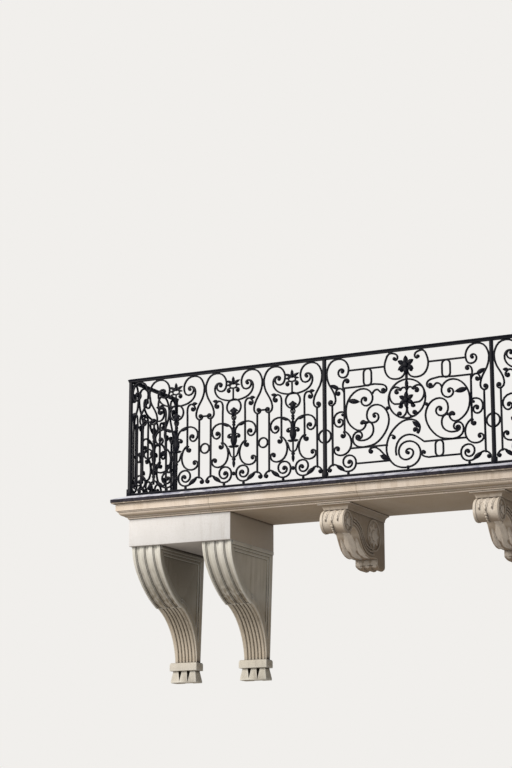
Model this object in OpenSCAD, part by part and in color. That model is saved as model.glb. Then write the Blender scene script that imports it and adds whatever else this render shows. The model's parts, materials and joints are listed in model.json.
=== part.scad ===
// Wrought iron balcony on a moulded stone slab, carried by stone consoles.
// X runs along the front, -Y points to the street, +Z is up.
// The origin is the middle of the slab's back face, which bears on the wall.
// Heights in the comments and in the ironwork's outlines are counted from the
// walking level, the top of the metal flashing.

/* [Balcony] */
// Length between the centres of the two corner posts
front_len = 5050; // [4980:10:5200]
// Distance from the wall to the middle of the front railing
rail_out = 810; // [790:5:850]
// Height of the top rail's upper face over the walking level
rail_h = 1015; // [1008:1:1030]
// Clear width of the wide middle bay between its two posts
wide_clear = 1402; // [1396:2:1420]
// Width of the closing strip beside each corner post
strip_w = 162; // [154:1:170]
// Width of the closing strips at both ends of each return
return_strip = 120; // [116:1:124]

/* [Iron sections] */
// Width in view of the scroll bars
bar_w = 14; // [12:0.5:15]
// Thickness of the scroll bars, front to back
bar_t = 16; // [12:1:18]
// Radius of the forged eye at the end of a scroll
eye_r = 15; // [13:0.5:16.5]
// Side of the square corner posts
corner_w = 27; // [24:1:34]
// Width in view of the intermediate posts
post_w = 28; // [24:1:32]
// Thickness of the intermediate and wall posts, front to back
post_t = 26; // [22:1:32]
// Width of the flat posts against the wall
wall_post_w = 14; // [10:1:20]
// Height of the square base at the foot of each post
base_h = 60; // [40:5:64]
// How far that base stands out around the post
base_out = 7; // [4:1:9]

/* [Scrollwork] */
// Distance of a lyre's uprights from the joint between two panels
upright_x = 54; // [51:1:57]
// Share of a narrow panel's half width that a lyre's crown reaches
lyre_share = 0.764; // [0.75:0.002:0.775]
// Distance of the inner uprights from a narrow panel's middle
inner_x = 104; // [100:1:108]
// Distance of the side uprights from the wide panel's middle
side_upright = 541; // [538:1:544]
// Half the width of the pair of C scrolls over the medallion
kidney_w = 194; // [191:1:197]
// Radius of the medallion's circle, to the middle of its bar
medallion_r = 158; // [156:1:162]
// Height of the upper one of the two level bars under the top rail
level_hi = 872; // [866:1:878]
// Height of the lower one
level_lo = 731; // [728:1:734]
// Height of the upper one of the two level bars beside the snail scroll
low_hi = 232; // [229:1:235]
// Height of the lower one
low_lo = 105; // [102:1:108]
// Height of the middle of the rings between two lyres
ring_z = 350; // [340:1:360]
// Thickness of the rosettes
rosette_t = 10; // [8:1:16]

/* [Rails] */
// Width of the moulded top rail
rail_w = 42; // [38:1:48]
// Height of the moulded top rail
rail_t = 30; // [28:1:34]
// Thickness of the bottom rail
low_rail_t = 14; // [10:1:16]
// Width of the bottom rail, front to back
low_rail_w = 34; // [28:1:42]
// Height of the bottom rail's underside over the walking level
low_rail_z = 8; // [5:1:12]

/* [Slab and flashing] */
// Height of the slab, flashing included
slab_h = 195; // [188:1:206]
// How far the slab's top falls from the railing to its edge
edge_fall = 36; // [30:1:42]
// How far the slab's flat face stands out past the railing
fascia_out = 85; // [75:1:98]
// How far the slab's top nosing stands out past the railing
nosing_out = 114; // [106:1:125]
// Height of the nosing
nosing_h = 34; // [32:1:38]
// Height of the flat face below the nosing
fascia_h = 61; // [56:1:68]
// Thickness of the metal flashing
sheet_t = 4; // [2:0.5:5]
// How far the flashing turns down over the nosing
sheet_drop = 25; // [20:1:30]
// Height of the slab's lowest fillet over the bearing blocks
bed_fillet = 9; // [6:1:12]

/* [Bearing blocks] */
// Length of each bearing block along the front
block_len = 955; // [860:5:1100]
// Height of the bearing blocks
block_h = 230; // [180:5:280]

/* [Consoles] */
// Width of a console at its top
console_w = 270; // [250:2:290]
// Width of a console at its foot
console_foot_w = 208; // [200:2:230]
// Height of a console without its foot block
console_h = 916; // [892:4:940]
// How far the consoles' front lies behind the front of the block
console_in = 27; // [10:1:36]
// Distance from the block's outer end to the outer console
end_in = 15; // [10:1:24]
// Radius of the round upper curve
crown_r = 350; // [330:5:370]
// Angle over which the upper curve runs
crown_a = 35; // [31:1:39]
// Radius of the flatter curve below it
belly_r = 820; // [800:5:840]
// Angle from level at which that curve breaks off
belly_a = 66; // [64:0.5:67]
// How far the lower front lies behind the upper one at the break
ledge = 14; // [13:1:18]
// How far the console's foot stands out from the wall
foot_out = 68; // [60:2:84]
// Depth of each of the two steps down to the sunk panel on each side
side_sink = 7; // [4:1:9]
// Width of the rim around that panel
side_rim = 46; // [38:1:54]
// Width of the step inside that rim
side_step = 26; // [20:1:32]
// Width of the upright strip of the rim at the wall
wall_rim = 52; // [46:1:60]
// Height of the fillet on the sides, under the bearing block
fillet_h = 30; // [24:1:38]
// How far that fillet stands out at each side
fillet_out = 6; // [3:1:10]
// How far that fillet ends behind the console's front
fillet_back = 22; // [14:1:30]
// Flutes on the upper front
flute_n = 3; // [2:1:4]
// Width of each flute
flute_w = 46; // [38:1:50]
// Depth of each flute
flute_d = 13; // [9:1:13]
// Reeds on the lower front
reed_n = 6; // [5:1:7]
// Width of each reed
reed_w = 29; // [24:1:31]
// How far each reed stands out
reed_out = 9; // [6:1:11]

/* [Console feet] */
// Height of the foot block
foot_h = 68; // [60:2:76]
// Width of the foot block
foot_w = 262; // [254:2:276]
// How far the foot block stands out from the wall
foot_d = 122; // [118:1:140]
// Height of the drops below the foot block
drop_h = 102; // [90:2:114]
// Height of the plain band at the lower end of each drop
drop_band = 16; // [8:1:24]
// Width of each drop at its lower end
drop_w = 82; // [74:1:84]
// Width of each drop at its upper end
drop_neck = 50; // [42:1:56]

/* [Modillions] */
// Distance of each modillion from the middle of the balcony
modillion_x = 645; // [560:5:760]
// Width of a modillion
modillion_w = 196; // [170:2:210]
// Height of the cap over it
cap_h = 54; // [46:1:64]
// How far the cap flares out at each side
cap_out = 40; // [30:1:48]
// Radius of the front drum
drum_r = 90; // [80:1:96]
// How far the drum's middle stays behind the railing
drum_in = 50; // [40:1:62]
// Radius of the large volute on each side
volute_r = 132; // [124:1:138]
// Distance of the volute's middle from the wall
volute_in = 230; // [210:5:250]
// Depth of the body below the cap
body_h = 322; // [305:1:340]
// Distance from the wall at which the body is lowest
body_d = 400; // [380:5:420]
// Ridges on each side, along the body's underside
rib_n = 3; // [2:1:3]
// Distance from one ridge to the next
rib_pitch = 26; // [22:1:28]
// How far volutes and ridges stand out at each side
relief = 7; // [4:1:10]
// Width of the raised rim at each end of the drum
rim_w = 16; // [10:1:22]
// How far that rim stands out around the drum
rim_out = 4; // [2:1:8]
// Length of the leaf that hangs below the body at the wall
pendant_h = 84; // [60:2:110]
// How far that leaf stands out from the wall
pendant_d = 160; // [140:5:180]

/* [Hidden] */

iron = "#1b1c22";
lead = "#6f6b74";
stone = "#d8cdbb";
block_stone = "#d5d2cc";
console_stone = "#b3aa9c";

// Walking level over the origin
top_z = slab_h / 2;
half = front_len / 2;
mid_post_x = wide_clear / 2 + post_w / 2;
// Front panels between the closing strip and the middle post on each side
panel_n = 3;
panel_half = (half - corner_w / 2 - strip_w - wide_clear / 2 - post_w) / panel_n / 2;
lyre_reach = panel_half * lyre_share;
rail_under = rail_h - rail_t;
low_rail_top = low_rail_z + low_rail_t;

// How far a curve may lie from its chords, and the widest step on tight curves
curve_tol = 1.6;
coarse_step = 34;
// Sides of eyes and beads, most sides of a ring, sides of drums and volutes
eye_fn = 9;
ring_fn = 32;
drum_fn = 40;
// Grows an outline by this much, so that shapes that only touch become one
weld = 0.01;
// Length by which cutting shapes pass the faces that they cut
over = 5;

// Curves

function unit(v) = v / norm(v);

function reversed(p) = [for (i = [len(p) - 1:-1:0]) p[i]];

// Points of a spiral that starts at p and winds in around the eye.
// turn is its angle, positive anticlockwise.
function spiral(p, eye, turn) =
    let (d = p - eye, r0 = norm(d), r1 = eye_r * 0.6, a0 = atan2(d[1], d[0]), n = ceil(abs(turn) / 60))
    [for (i = [1:n]) let (t = i / n, r = r0 + (r1 - r0) * t, a = a0 + turn * t)
        eye + r * [cos(a), sin(a)]];

// Direction of a path at its point i, as on a circle through its neighbours
function heading(p, i) =
    let (n = len(p) - 1)
    i == 0 ? unit(2 * unit(p[1] - p[0]) - (n > 1 ? heading(p, 1) : unit(p[1] - p[0])))
    : i == n ? unit(2 * unit(p[n] - p[n - 1]) - (n > 1 ? heading(p, n - 1) : unit(p[n] - p[n - 1])))
    : unit((p[i] - p[i - 1]) / pow(norm(p[i] - p[i - 1]), 2)
        + (p[i + 1] - p[i]) / pow(norm(p[i + 1] - p[i]), 2));

// Samples that a curve of this chord and bend needs to stay within the tolerance
function samples(chord, bend) =
    bend < 2 ? 1
    : let (r = chord / (2 * sin(bend / 2)))
        ceil(bend / min(coarse_step, 2 * acos(1 - min(1, curve_tol / r))));

// One stretch from a to b with the directions ta and tb, without the point b
function stretch(a, b, ta, tb) =
    let (bend = acos(max(-1, min(1, ta * tb))),
        h = norm(b - a) / (3 * pow(cos(bend / 4), 2)),
        n = max(1, samples(norm(b - a), bend)))
    [for (i = [0:n - 1]) let (t = i / n, s = 1 - t)
        s * s * s * a + 3 * s * s * t * (a + h * ta) + 3 * s * t * t * (b - h * tb) + t * t * t * b];

// Smooth curve through all the points of p
function smooth(p) =
    let (n = len(p) - 1)
    [for (i = [0:n - 1]) each stretch(p[i], p[i + 1], heading(p, i), heading(p, i + 1)), p[n]];

// Flat outline of a bar of width w that follows the points of p
module bar(p, w = bar_w) {
    n = len(p) - 1;
    side = [for (i = [0:n]) let (
        a = unit(p[max(i, 1)] - p[max(i, 1) - 1]),
        b = unit(p[min(i, n - 1) + 1] - p[min(i, n - 1)]),
        m = unit(a + b))
        [-m[1], m[0]] * w / 2 / max(0.5, m * a)];
    for (i = [0:n - 1])
        polygon([p[i] + side[i], p[i + 1] + side[i + 1], p[i + 1] - side[i + 1], p[i] - side[i]]);
}

// Forged end of a scroll, a bead or a collar
module eye(p, r = eye_r) {
    translate(p)
        circle(r = r, $fn = eye_fn);
}

// Bar with a volute at its end: the path p, then a spiral around the eye
module hook(p, at, turn, w = bar_w) {
    bar(smooth(concat(p, spiral(p[len(p) - 1], at, turn))), w);
    eye(at);
}

// Bar with a volute at both ends
module scroll(at_a, turn_a, p, at_b, turn_b, w = bar_w) {
    bar(smooth(concat(
        reversed(spiral(p[0], at_a, turn_a)), p, spiral(p[len(p) - 1], at_b, turn_b))), w);
    eye(at_a);
    eye(at_b);
}

// Ring whose bar's middle line has the radius r; small rings have fewer sides
module ring(p, r) {
    sides = min(ring_fn, 4 * floor(sqrt(r)));
    translate(p)
        difference() {
            circle(r = r + bar_w / 2, $fn = sides);
            circle(r = r - bar_w / 2, $fn = sides);
        }
}

// Upright ring between two level bars; width is that of its middle line
module long_ring(x, z0, z1, width) {
    r = width / 2;
    ends = [for (a = [0:180 / 7:180.1]) [cos(a), sin(a)] * r];
    bar(concat([for (e = ends) [x, z1 - r] + e], [for (e = ends) [x, z0 + r] - e], [[x + r, z1 - r]]));
}

// Pointed leaf from p towards q, w wide, fullest at a third of its length
module leaf(p, q, w) {
    d = q - p;
    s = [-d[1], d[0]] / norm(d) * w / 2;
    up = smooth([p + s * 0.25, p + d * 0.33 + s, q]);
    down = smooth([q, p + d * 0.33 - s, p - s * 0.25]);
    polygon(concat(up, [for (i = [1:len(down) - 1]) down[i]]));
}

// Flower of pointed petals around a round heart
module flower(p, r, petals) {
    translate(p) {
        eye([0, 0], r * 0.3);
        for (i = [0:petals - 1])
            rotate(90 + i * 360 / petals)
                leaf([r * 0.12, 0], [r, 0], r * 0.52);
    }
}

module both_sides() {
    children();
    mirror([1, 0])
        children();
}

// Openwork rosette of half width r: a bud on top, side petals, a loop around
// the open middle, two lobes that curl down, and a stem that ends at stem_z
module rosette(p, r, stem_z) {
    foot_p = [0, -r * 0.6];
    translate(p) {
        leaf([0, r * 0.1], [0, r], r * 0.44);
        both_sides() {
            leaf([0, r * 0.04], [r, r * 0.5], r * 0.4);
            leaf([r * 0.1, 0], [r * 1.04, -r * 0.2], r * 0.3);
            bar(smooth([[0, r * 0.1], [r * 0.5, -r * 0.28], foot_p]), bar_w * 0.9);
            hook([foot_p, [r * 0.42, -r * 0.54], [r * 0.8, -r * 0.7]], [r * 0.6, -r * 0.9], -170, bar_w);
        }
        bar([foot_p, [0, stem_z - p[1]]]);
    }
}

// Patterns of the ironwork. x runs along the railing and y is the height.
// A bar stands against a line when its middle is half its width away from it.

touch = bar_w / 2;
// Middle line of the scrolls that hang from the top rail
hi = rail_under - touch;
// Height of the small eye over a lyre's upright, and its place beside it
lyre_eye_z = 624;
lyre_eye_in = 9;
// Height of the rosettes' middles
rosette_z = level_hi - 2;

// Half of a lyre against the line x = 0, opening to +x: a teardrop that rises
// into a big volute of the given reach, an upright, and their small eye
module half_lyre(reach = lyre_reach, upright = upright_x) {
    crown = reach - touch;
    scroll([upright - lyre_eye_in, lyre_eye_z], -250,
        [[upright - 9, 598], [upright + 24, 616], [upright + 29, 655], [upright + 8, 715],
            [upright * 0.5, 775], [touch + 3, 830], [touch, 866], [touch + 9, 908],
            [crown * 0.25, hi - 18], [crown * 0.52, hi], [crown * 0.8, hi - 14], [crown * 0.97, hi - 56],
            [crown, 866], [crown * 0.9, 826]],
        [crown * 0.73, 868], -310);
    bar([[upright, 602], [upright, 106]]);
    eye([upright, 106], touch);
}

// Small foot between a scroll and the bottom rail
module foot(x) {
    polygon([[x - 7, low_rail_top], [x + 7, low_rail_top], [x + 9, 52], [x - 9, 52]]);
    eye([x, low_rail_top + 10], 11);
}

// Round spiral with its eye at x, and a leafy tail to the joint at joint_x
module bottom_spiral(x, joint_x) {
    scroll([x - 3, 120], -310,
        [[x + 48, 122], [x + 34, 164], [x - 6, 178], [x - 50, 158], [x - 64, 112], [x - 46, 66],
            [x, 47], [x + 46, 58], [x + 84, 88], [joint_x - 88, 106], [joint_x - 48, 110],
            [joint_x - 22, 90]],
        [joint_x - 31, 70], -190);
    leaf([x + 38, 58], [x + 112, 108], 34);
    foot(x + 4);
}

// Right half of a narrow panel, from its middle line to the joint at x = w
module narrow_half(w) {
    // Middle line of a scroll that touches the lyre's upright
    side = w - upright_x - bar_w;
    reach = w * lyre_share;
    translate([w, 0])
        mirror([1, 0])
            half_lyre(reach);
    // Cup under the rosette, grown out of the big volute
    bar(smooth([[w - reach * 0.68, 892], [w - reach * 0.534, 884], [w - reach * 0.447, 850],
        [w - reach * 0.495, 800], [w - reach * 0.655, 764], [w - reach * 0.9, 742], [50, 735], [0, 737]]));
    // Inner upright with its curl and leaf
    hook([[inner_x, 372], [inner_x, 640], [inner_x, 700], [inner_x + 12, 728], [inner_x + 37, 738],
        [inner_x + 62, 722]], [inner_x + 48, 697], -220);
    leaf([inner_x + 46, 738], [w - upright_x - 20, 742], 28);
    // Branch of the stem
    hook([[6, 436], [20, 495], [54, 530], [105, 545], [side - 34, 534], [side, 488],
        [side - 8, 444], [side - 38, 420]], [side - 46, 458], -250);
    leaf([40, 516], [116, 546], 26);
    hook([[0, 440], [30, 449], [54, 436]], [42, 426], -120, bar_w * 0.7);
    // Reversed C between the stem and the lyre
    scroll([126, 350], 210,
        [[112, 380], [82, 368], [58, 324], [54, 264], [78, 208], [122, 182], [side - 30, 184],
            [side, 214]],
        [side - 30, 232], 190);
    bottom_spiral(86, w);
    // Small cup between the two C scrolls
    bar(smooth([[52, 332], [40, 300], [30, 268], [0, 250]]), bar_w * 0.8);
}

// Stem with its buds in the middle of a narrow panel
module narrow_stem() {
    ring([0, 677], 65);
    bar([[0, 612], [0, 190]], bar_w * 0.8);
    leaf([0, 672], [0, 596], 46);
    both_sides() {
        leaf([0, 660], [38, 640], 20);
        bar(smooth([[0, 620], [19, 590], [0, 560]]), bar_w * 0.6);
        leaf([0, 340], [50, 346], 22);
    }
    for (z = [548, 526])
        eye([0, z], 14);
    leaf([0, 430], [0, 518], 40);
    leaf([0, 462], [0, 330], 56);
    eye([0, 236], 16);
    leaf([0, 232], [0, 166], 24);
    // Collar between the two bottom spirals
    eye([0, 116], 17);
}

module narrow_panel(w) {
    both_sides()
        narrow_half(w);
    narrow_stem();
}

// Distance of a closing strip's first upright from the joint
function strip_upright(w) = w / 3;

// Narrow strip of width w that closes a bay: one half lyre, a second upright
// and a bottom spiral. The joint is at x = 0 and the post at x = w.
module closing_strip(w) {
    first = strip_upright(w);
    second = 2 * first;
    half_lyre(w, first);
    hook([[second, 106], [second, 560], [second, 660], [second + 14, 706], [second + 32, 712]],
        [second + 28, 694], -160, bar_w * 0.9);
    ring([w / 2, ring_z], (second - first) / 2 - bar_w);
    scroll([w * 0.52, 116], -300,
        [[w * 0.76, 118], [w * 0.68, 160], [w * 0.42, 170], [w * 0.18, 138], [w * 0.22, 76],
            [w * 0.5, 47], [w * 0.8, 66]],
        [w * 0.82, 88], 150);
    foot(w * 0.5);
}

// Right-hand scrolls of the wide panel, from beside its medallion to the post
module wide_scrolls(w) {
    translate([w, 0])
        mirror([1, 0])
            half_lyre();
    // Two level bars at the top with an upright ring between them
    bar([[kidney_w, level_hi], [w - lyre_reach + touch, level_hi]]);
    hook([[w - 160, level_lo], [400, level_lo], [218, level_lo - 1], [184, 716], [171, 690]],
        [198, 684], 250);
    bar(smooth([[188, 660], [222, 664], [248, 690], [272, 688], [294, 660]]));
    long_ring(336, level_lo, level_hi, 68);
    // Upper scroll, wound in at its inner side
    scroll([357, 616], 320,
        [[304, 592], [294, 640], [318, 685], [366, 709], [430, 700], [485, 658], [520, 592],
            [527, 520], [508, 446], [462, 394], [404, 370], [366, 392]],
        [390, 430], -170);
    leaf([506, 622], [404, 606], 40);
    // Lower scroll, wound in at its top
    scroll([281, 476], -320,
        [[334, 446], [346, 492], [326, 545], [278, 568], [220, 556], [176, 512], [155, 440],
            [172, 366], [216, 300], [275, 252], [344, 236], [415, 238], [458, 266], [470, 314],
            [446, 356], [404, 358]],
        [418, 322], 200);
    // Link between them, from the collar to the lower scroll's eye
    hook([[344, 434], [306, 420], [290, 380], [302, 326], [345, 294], [396, 288], [436, 302]],
        [420, 324], 130);
    leaf([392, 436], [330, 426], 30);
    // Collar between the lower scroll and the medallion
    eye([166, 530]);
    // Upright beside the lyre, with its curls and leaf
    bar([[side_upright, 725], [side_upright, 366]]);
    hook([[side_upright, 700], [552, 744], [548, 780], [532, 800]], [515, 782], 190);
    hook([[side_upright, 690], [560, 724], [592, 732], [612, 712]], [590, 695], -190);
    leaf([588, 730], [w - upright_x + 12, 768], 34);
    // Small C at half height
    hook([[side_upright, 532], [586, 536], [622, 514], [w - upright_x - bar_w, 470], [616, 428],
        [584, 416], [558, 434]], [587, 458], -200);
    eye([side_upright + 14, 512], eye_r * 0.8);
    // Lower C
    scroll([562, 342], 200,
        [[548, 370], [512, 354], [486, 306], [486, 250], [514, 204], [556, 184], [602, 188],
            [w - upright_x - bar_w, 216]],
        [600, 232], 190);
    bottom_spiral(508, w);
}

// Medallion: a circle with its inner scrolls, under a pair of C scrolls
medallion_c = [0, 592];

module medallion_pattern() {
    both_sides() {
        scroll([40, 824], -220,
            [[16, 798], [40, 770], [92, 759], [146, 776], [178, 820], [kidney_w - touch, 872],
                [174, 928], [146, hi - 6], [108, hi - 8]],
            [101, 926], 190);
        scroll([82, 648], -220,
            [[56, 664], [84, 692], [124, 684], [148, 640], [138, 588], [106, 556], [70, 554]],
            [57, 530], 190);
        hook([[4, 524], [14, 466], [48, 444], [80, 462]], [60, 472], 180);
        bar(smooth([[0, 650], [18, 684], [50, 674]]));
    }
    ring(medallion_c, medallion_r);
    bar([[0, medallion_c[1] + medallion_r], [0, 508]]);
    // Stem of the flower between the C scrolls
    bar([[0, medallion_c[1] + medallion_r], [0, 838]], 20);
    leaf([0, 690], [0, 748], 28);
    for (z = [698, 672])
        eye([0, z], 14);
}

// Where the side scrolls begin at the level of each low bar
side_hi = 487;
side_lo = 438;
// Middle of the bar where the snail touches the medallion from below
snail_top = medallion_c[1] - medallion_r - bar_w + 1;

module low_bar(x0, x1, z) {
    bar([[x0, z], [x1, z]]);
}

// Large snail, wound one way only, and the level bars on both sides of it. It
// starts in a curl at the top right.
module snail_pattern() {
    scroll([62, 330], 200,
        [[84, 308], [105, 334], [102, 374], [72, 407], [12, snail_top], [-40, 411], [-96, 374],
            [-144, 320], [-174, 250], [-180, 180], [-158, 118], [-114, 66], [-56, 42], [4, 40],
            [62, 60], [98, 102], [108, 152], [92, 202], [50, 238], [-6, 246], [-54, 224],
            [-76, 178], [-66, 128], [-30, 102], [8, 104], [38, 126], [46, 162]],
        [2, 154], 200);
    leaf([104, 350], [44, 404], 34);
    // Outer arc that runs into the bar at the right
    bar(smooth([[-96, 140], [-100, 200], [-70, 266], [-16, 297], [46, 294], [96, 266], [140, low_hi]]));
    hook([[-150, 306], [-132, 308], [-112, 300]], [-118, 286], -150, bar_w * 0.8);
    // Small scroll that leaves the bar at the right
    hook([[204, low_lo], [150, 110], [118, 132]], [138, 146], -150);
    // Leafy scroll at the left
    hook([[-160, 112], [-214, 172], [-262, 216], [-300, 222], [-328, 202]], [-310, 192], 150);
    leaf([-160, 118], [-236, 152], 44);
    foot(0);
    low_bar(138, side_hi, low_hi);
    low_bar(-side_hi, -168, low_hi);
    low_bar(202, side_lo, low_lo);
    low_bar(-side_lo, -158, low_lo);
    long_ring(266, low_lo, low_hi, 66);
}

// Placing

// Turns a flat pattern upright in the plane of the front railing
module in_front(x, t = bar_t) {
    translate([x, t / 2 - rail_out, top_z])
        rotate([90, 0, 0])
            linear_extrude(t)
                offset(delta = weld)
                    children();
}

// Turns a flat pattern upright in the plane of a return, x counted from the
// wall; side is -1 or 1
module in_return(side, t = bar_t) {
    translate([side * half, 0, top_z])
        rotate([90, 0, -90])
            translate([0, 0, -t / 2])
                linear_extrude(t)
                    offset(delta = weld)
                        children();
}

// Turns a profile in [distance from the wall, height] upright, its width w
// centred on x
module across(w) {
    rotate([90, 0, -90])
        translate([0, 0, -w / 2])
            linear_extrude(w)
                children();
}

// Stone

// Solid against the wall whose edge outline runs round the front and both ends
// with mitred corners. edge lists [how far out, height].
module moulded(edge, half_len, depth) {
    z_first = edge[0][1];
    z_last = edge[len(edge) - 1][1];
    intersection() {
        across(4 * half_len)
            polygon(concat([[0, z_first]], [for (e = edge) [depth + e[0], e[1]]], [[0, z_last]]));
        rotate([90, 0, 0])
            linear_extrude(2 * depth)
                polygon(concat(
                    [for (e = edge) [half_len + e[0], e[1]]],
                    [for (e = reversed(edge)) [-half_len - e[0], e[1]]]));
    }
}

// Quarter of an oval from a down to b: bulging outwards, or hollow
function quarter(a, b, bulge) =
    [for (t = [0:15:90]) bulge
        ? [b[0] + (a[0] - b[0]) * cos(t), a[1] + (b[1] - a[1]) * sin(t)]
        : [a[0] + (b[0] - a[0]) * sin(t), b[1] + (a[1] - b[1]) * cos(t)]];

// Slab edge, from the top down: sloping top, nosing, flat face, bulge, step,
// hollow and fillet. The slope starts beside the bases of the posts.
slope_in = corner_w / 2 + base_out + over;
nosing_z = -edge_fall - nosing_h;
bed_z = nosing_z - fascia_h;
bed_h = slab_h + bed_z;
bulge_z = bed_z - bed_h * 0.62;
bulge_out = fascia_out * 0.4;
step_out = bulge_out - bed_fillet;
step_z = bulge_z - bed_fillet;
slab_edge = concat(
    [[slope_in, -sheet_t], [nosing_out, -sheet_t - edge_fall], [nosing_out, nosing_z]],
    [[fascia_out, nosing_z], [fascia_out, bed_z]],
    [[fascia_out - bed_fillet, bed_z], [fascia_out - bed_fillet, bed_z - bed_fillet]],
    quarter([fascia_out - 2 * bed_fillet, bed_z - bed_fillet], [bulge_out, bulge_z], true),
    [[step_out, bulge_z], [step_out, step_z]],
    quarter([step_out, step_z], [bed_fillet, bed_fillet - slab_h], false),
    [[bed_fillet, -slab_h]]);

module stone_slab() {
    color(stone)
        translate([0, 0, top_z])
            moulded(slab_edge, half, rail_out);
}

module lead_flashing() {
    lip = nosing_out + sheet_t;
    low = -edge_fall - sheet_drop;
    color(lead)
        translate([0, 0, top_z])
            difference() {
                moulded([[slope_in, 0], [lip, -edge_fall], [lip, low], [0, low]], half, rail_out);
                moulded([[slope_in, -sheet_t], [nosing_out, -sheet_t - edge_fall],
                    [nosing_out, low - over], [0, low - over]], half, rail_out);
            }
}

block_z = -slab_h - block_h;

module bearing_block(side) {
    color(block_stone)
        translate([side * (half - block_len / 2), -rail_out / 2, top_z + block_z + block_h / 2])
            cube([block_len, rail_out, block_h], center = true);
}

// Consoles, drawn from the wall outwards and from the block downwards

// Middles of the round upper curve and of the flatter one that runs on from it
crown_c = [rail_out - console_in - crown_r, 0];
belly_c = crown_c + (belly_r - crown_r) * [-cos(crown_a), sin(crown_a)];
// Where the belly breaks off, and where the lower front starts behind it
break_p = belly_c + belly_r * [cos(belly_a), -sin(belly_a)];
lower_p = break_p - ledge * [cos(belly_a), -sin(belly_a)];
// The lower curve is hollow and ends upright at the foot
sweep_d = lower_p[0] - foot_out;
sweep_h = console_h + lower_p[1];
sweep_r = (pow(sweep_d, 2) + pow(sweep_h, 2)) / (2 * sweep_d);
sweep_c = [foot_out + sweep_r, -console_h];
sweep_a = asin(sweep_h / sweep_r);
// Largest angle between two points of these curves
front_step = 6;

// Point at angle a, counted from level downwards, on a circle of radius r
function at(c, r, a) = c + r * [cos(a), -sin(a)];

// Points of a circle from the angle a to b
function arc(c, r, a, b) =
    let (n = ceil(abs(b - a) / front_step))
    [for (i = [0:n]) at(c, r, a + (b - a) * i / n)];

// Points of the flatter curve, moved in by inset, without its first one
function belly(inset) =
    let (p = arc(belly_c, belly_r - inset, crown_a, belly_a))
    [for (i = [1:len(p) - 1]) p[i]];

// Side outline of a console, set in by inset from its front and its foot, by
// back from the wall and by top from the block
module console_outline(inset = 0, back = 0, top = 0) {
    low_r = sweep_r + inset;
    // The lower curve ends over the foot, or before it at the back line
    foot_a = asin(inset / low_r);
    back_a = acos(min(1, (sweep_c[0] - back) / low_r));
    polygon(concat(
        [[back, -top]],
        arc(crown_c, crown_r - inset, asin(top / (crown_r - inset)), crown_a),
        belly(inset),
        arc(sweep_c, low_r, 180 + sweep_a, 180 + max(foot_a, back_a)),
        foot_a >= back_a ? [[back, inset - console_h]] : []));
}

// Upright wedge that narrows from the top to the foot, set in at each side
module console_wedge(set_in) {
    top_w = console_w / 2 - set_in;
    foot_w = console_foot_w / 2 - set_in;
    rotate([90, 0, 0])
        linear_extrude(rail_out + over)
            polygon([[-top_w, 0], [top_w, 0], [foot_w, -console_h], [-foot_w, -console_h]]);
}

// Points along the upper front, moved in by inset and run on past both ends
function upper_front(inset) = concat(
    [at(crown_c, crown_r - inset, 0) + [0, over]],
    arc(crown_c, crown_r - inset, 0, crown_a),
    belly(inset),
    [at(belly_c, belly_r - inset, belly_a) - over * [sin(belly_a), cos(belly_a)]]);

// Channel of the width w and the depth d along the upper front
module flute(w, d) {
    across(w)
        polygon(concat(upper_front(-over), reversed(upper_front(d))));
}

// Share of a flute's width that is cut to its full depth, and share of the
// depth at which the rest of it lies
flute_bed = 0.64;
flute_rise = 0.5;

// Flutes, each hollowed in two steps
module flutes() {
    pitch = (console_w - side_rim / 2) / flute_n;
    for (i = [0:flute_n - 1])
        translate([(i - (flute_n - 1) / 2) * pitch, 0, 0]) {
            flute(flute_w, flute_d * flute_rise);
            flute(flute_w * flute_bed, flute_d);
        }
}

// Reeds that follow the lower front
module reeds() {
    pitch = (console_foot_w - side_rim / 3) / reed_n;
    translate([0, -sweep_c[0], sweep_c[1]])
        rotate([0, 90, 0])
            rotate([0, 0, 90])
                rotate_extrude(angle = sweep_a, $fn = 120)
                    for (i = [0:reed_n - 1])
                        translate([sweep_r + reed_w / 2 - reed_out, (i - (reed_n - 1) / 2) * pitch])
                            circle(d = reed_w, $fn = 24);
}

// Sunk panel in the side, cut by the given depth
module side_panel(inset, depth) {
    difference() {
        across(console_w + 2 * over)
            console_outline(inset, wall_rim + inset - side_rim, fillet_h + inset - side_rim / 2);
        console_wedge(depth);
    }
}

fillet_len = rail_out - console_in - fillet_back;

module console(x) {
    color(console_stone)
        translate([x, 0, top_z + block_z]) {
            difference() {
                intersection() {
                    across(console_w)
                        console_outline();
                    console_wedge(0);
                }
                side_panel(side_rim, side_sink);
                side_panel(side_rim + side_step, 2 * side_sink);
                flutes();
            }
            reeds();
            for (end = [-1, 1])
                translate([end * console_w / 2, -fillet_len / 2, -fillet_h / 2])
                    cube([2 * fillet_out, fillet_len, fillet_h], center = true);
        }
}

console_outer_x = half - console_w / 2 - end_in;
console_inner_x = half - block_len + console_w / 2 + fillet_out;
foot_z = block_z - console_h;
// Distance of the drops from the foot block's front and sides
drop_in = (foot_w - 3 * drop_w) / 2;

// Drop that widens downwards, with a plain band at its lower end
module drop(x, y) {
    outline = [[-drop_neck / 2, 0], [drop_neck / 2, 0], [drop_w / 2, drop_band - drop_h],
        [drop_w / 2, -drop_h], [-drop_w / 2, -drop_h], [-drop_w / 2, drop_band - drop_h]];
    translate([x, y, 0])
        intersection() {
            rotate([90, 0, 0])
                linear_extrude(drop_w, center = true)
                    polygon(outline);
            rotate([90, 0, 90])
                linear_extrude(drop_w, center = true)
                    polygon(outline);
        }
}

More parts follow.
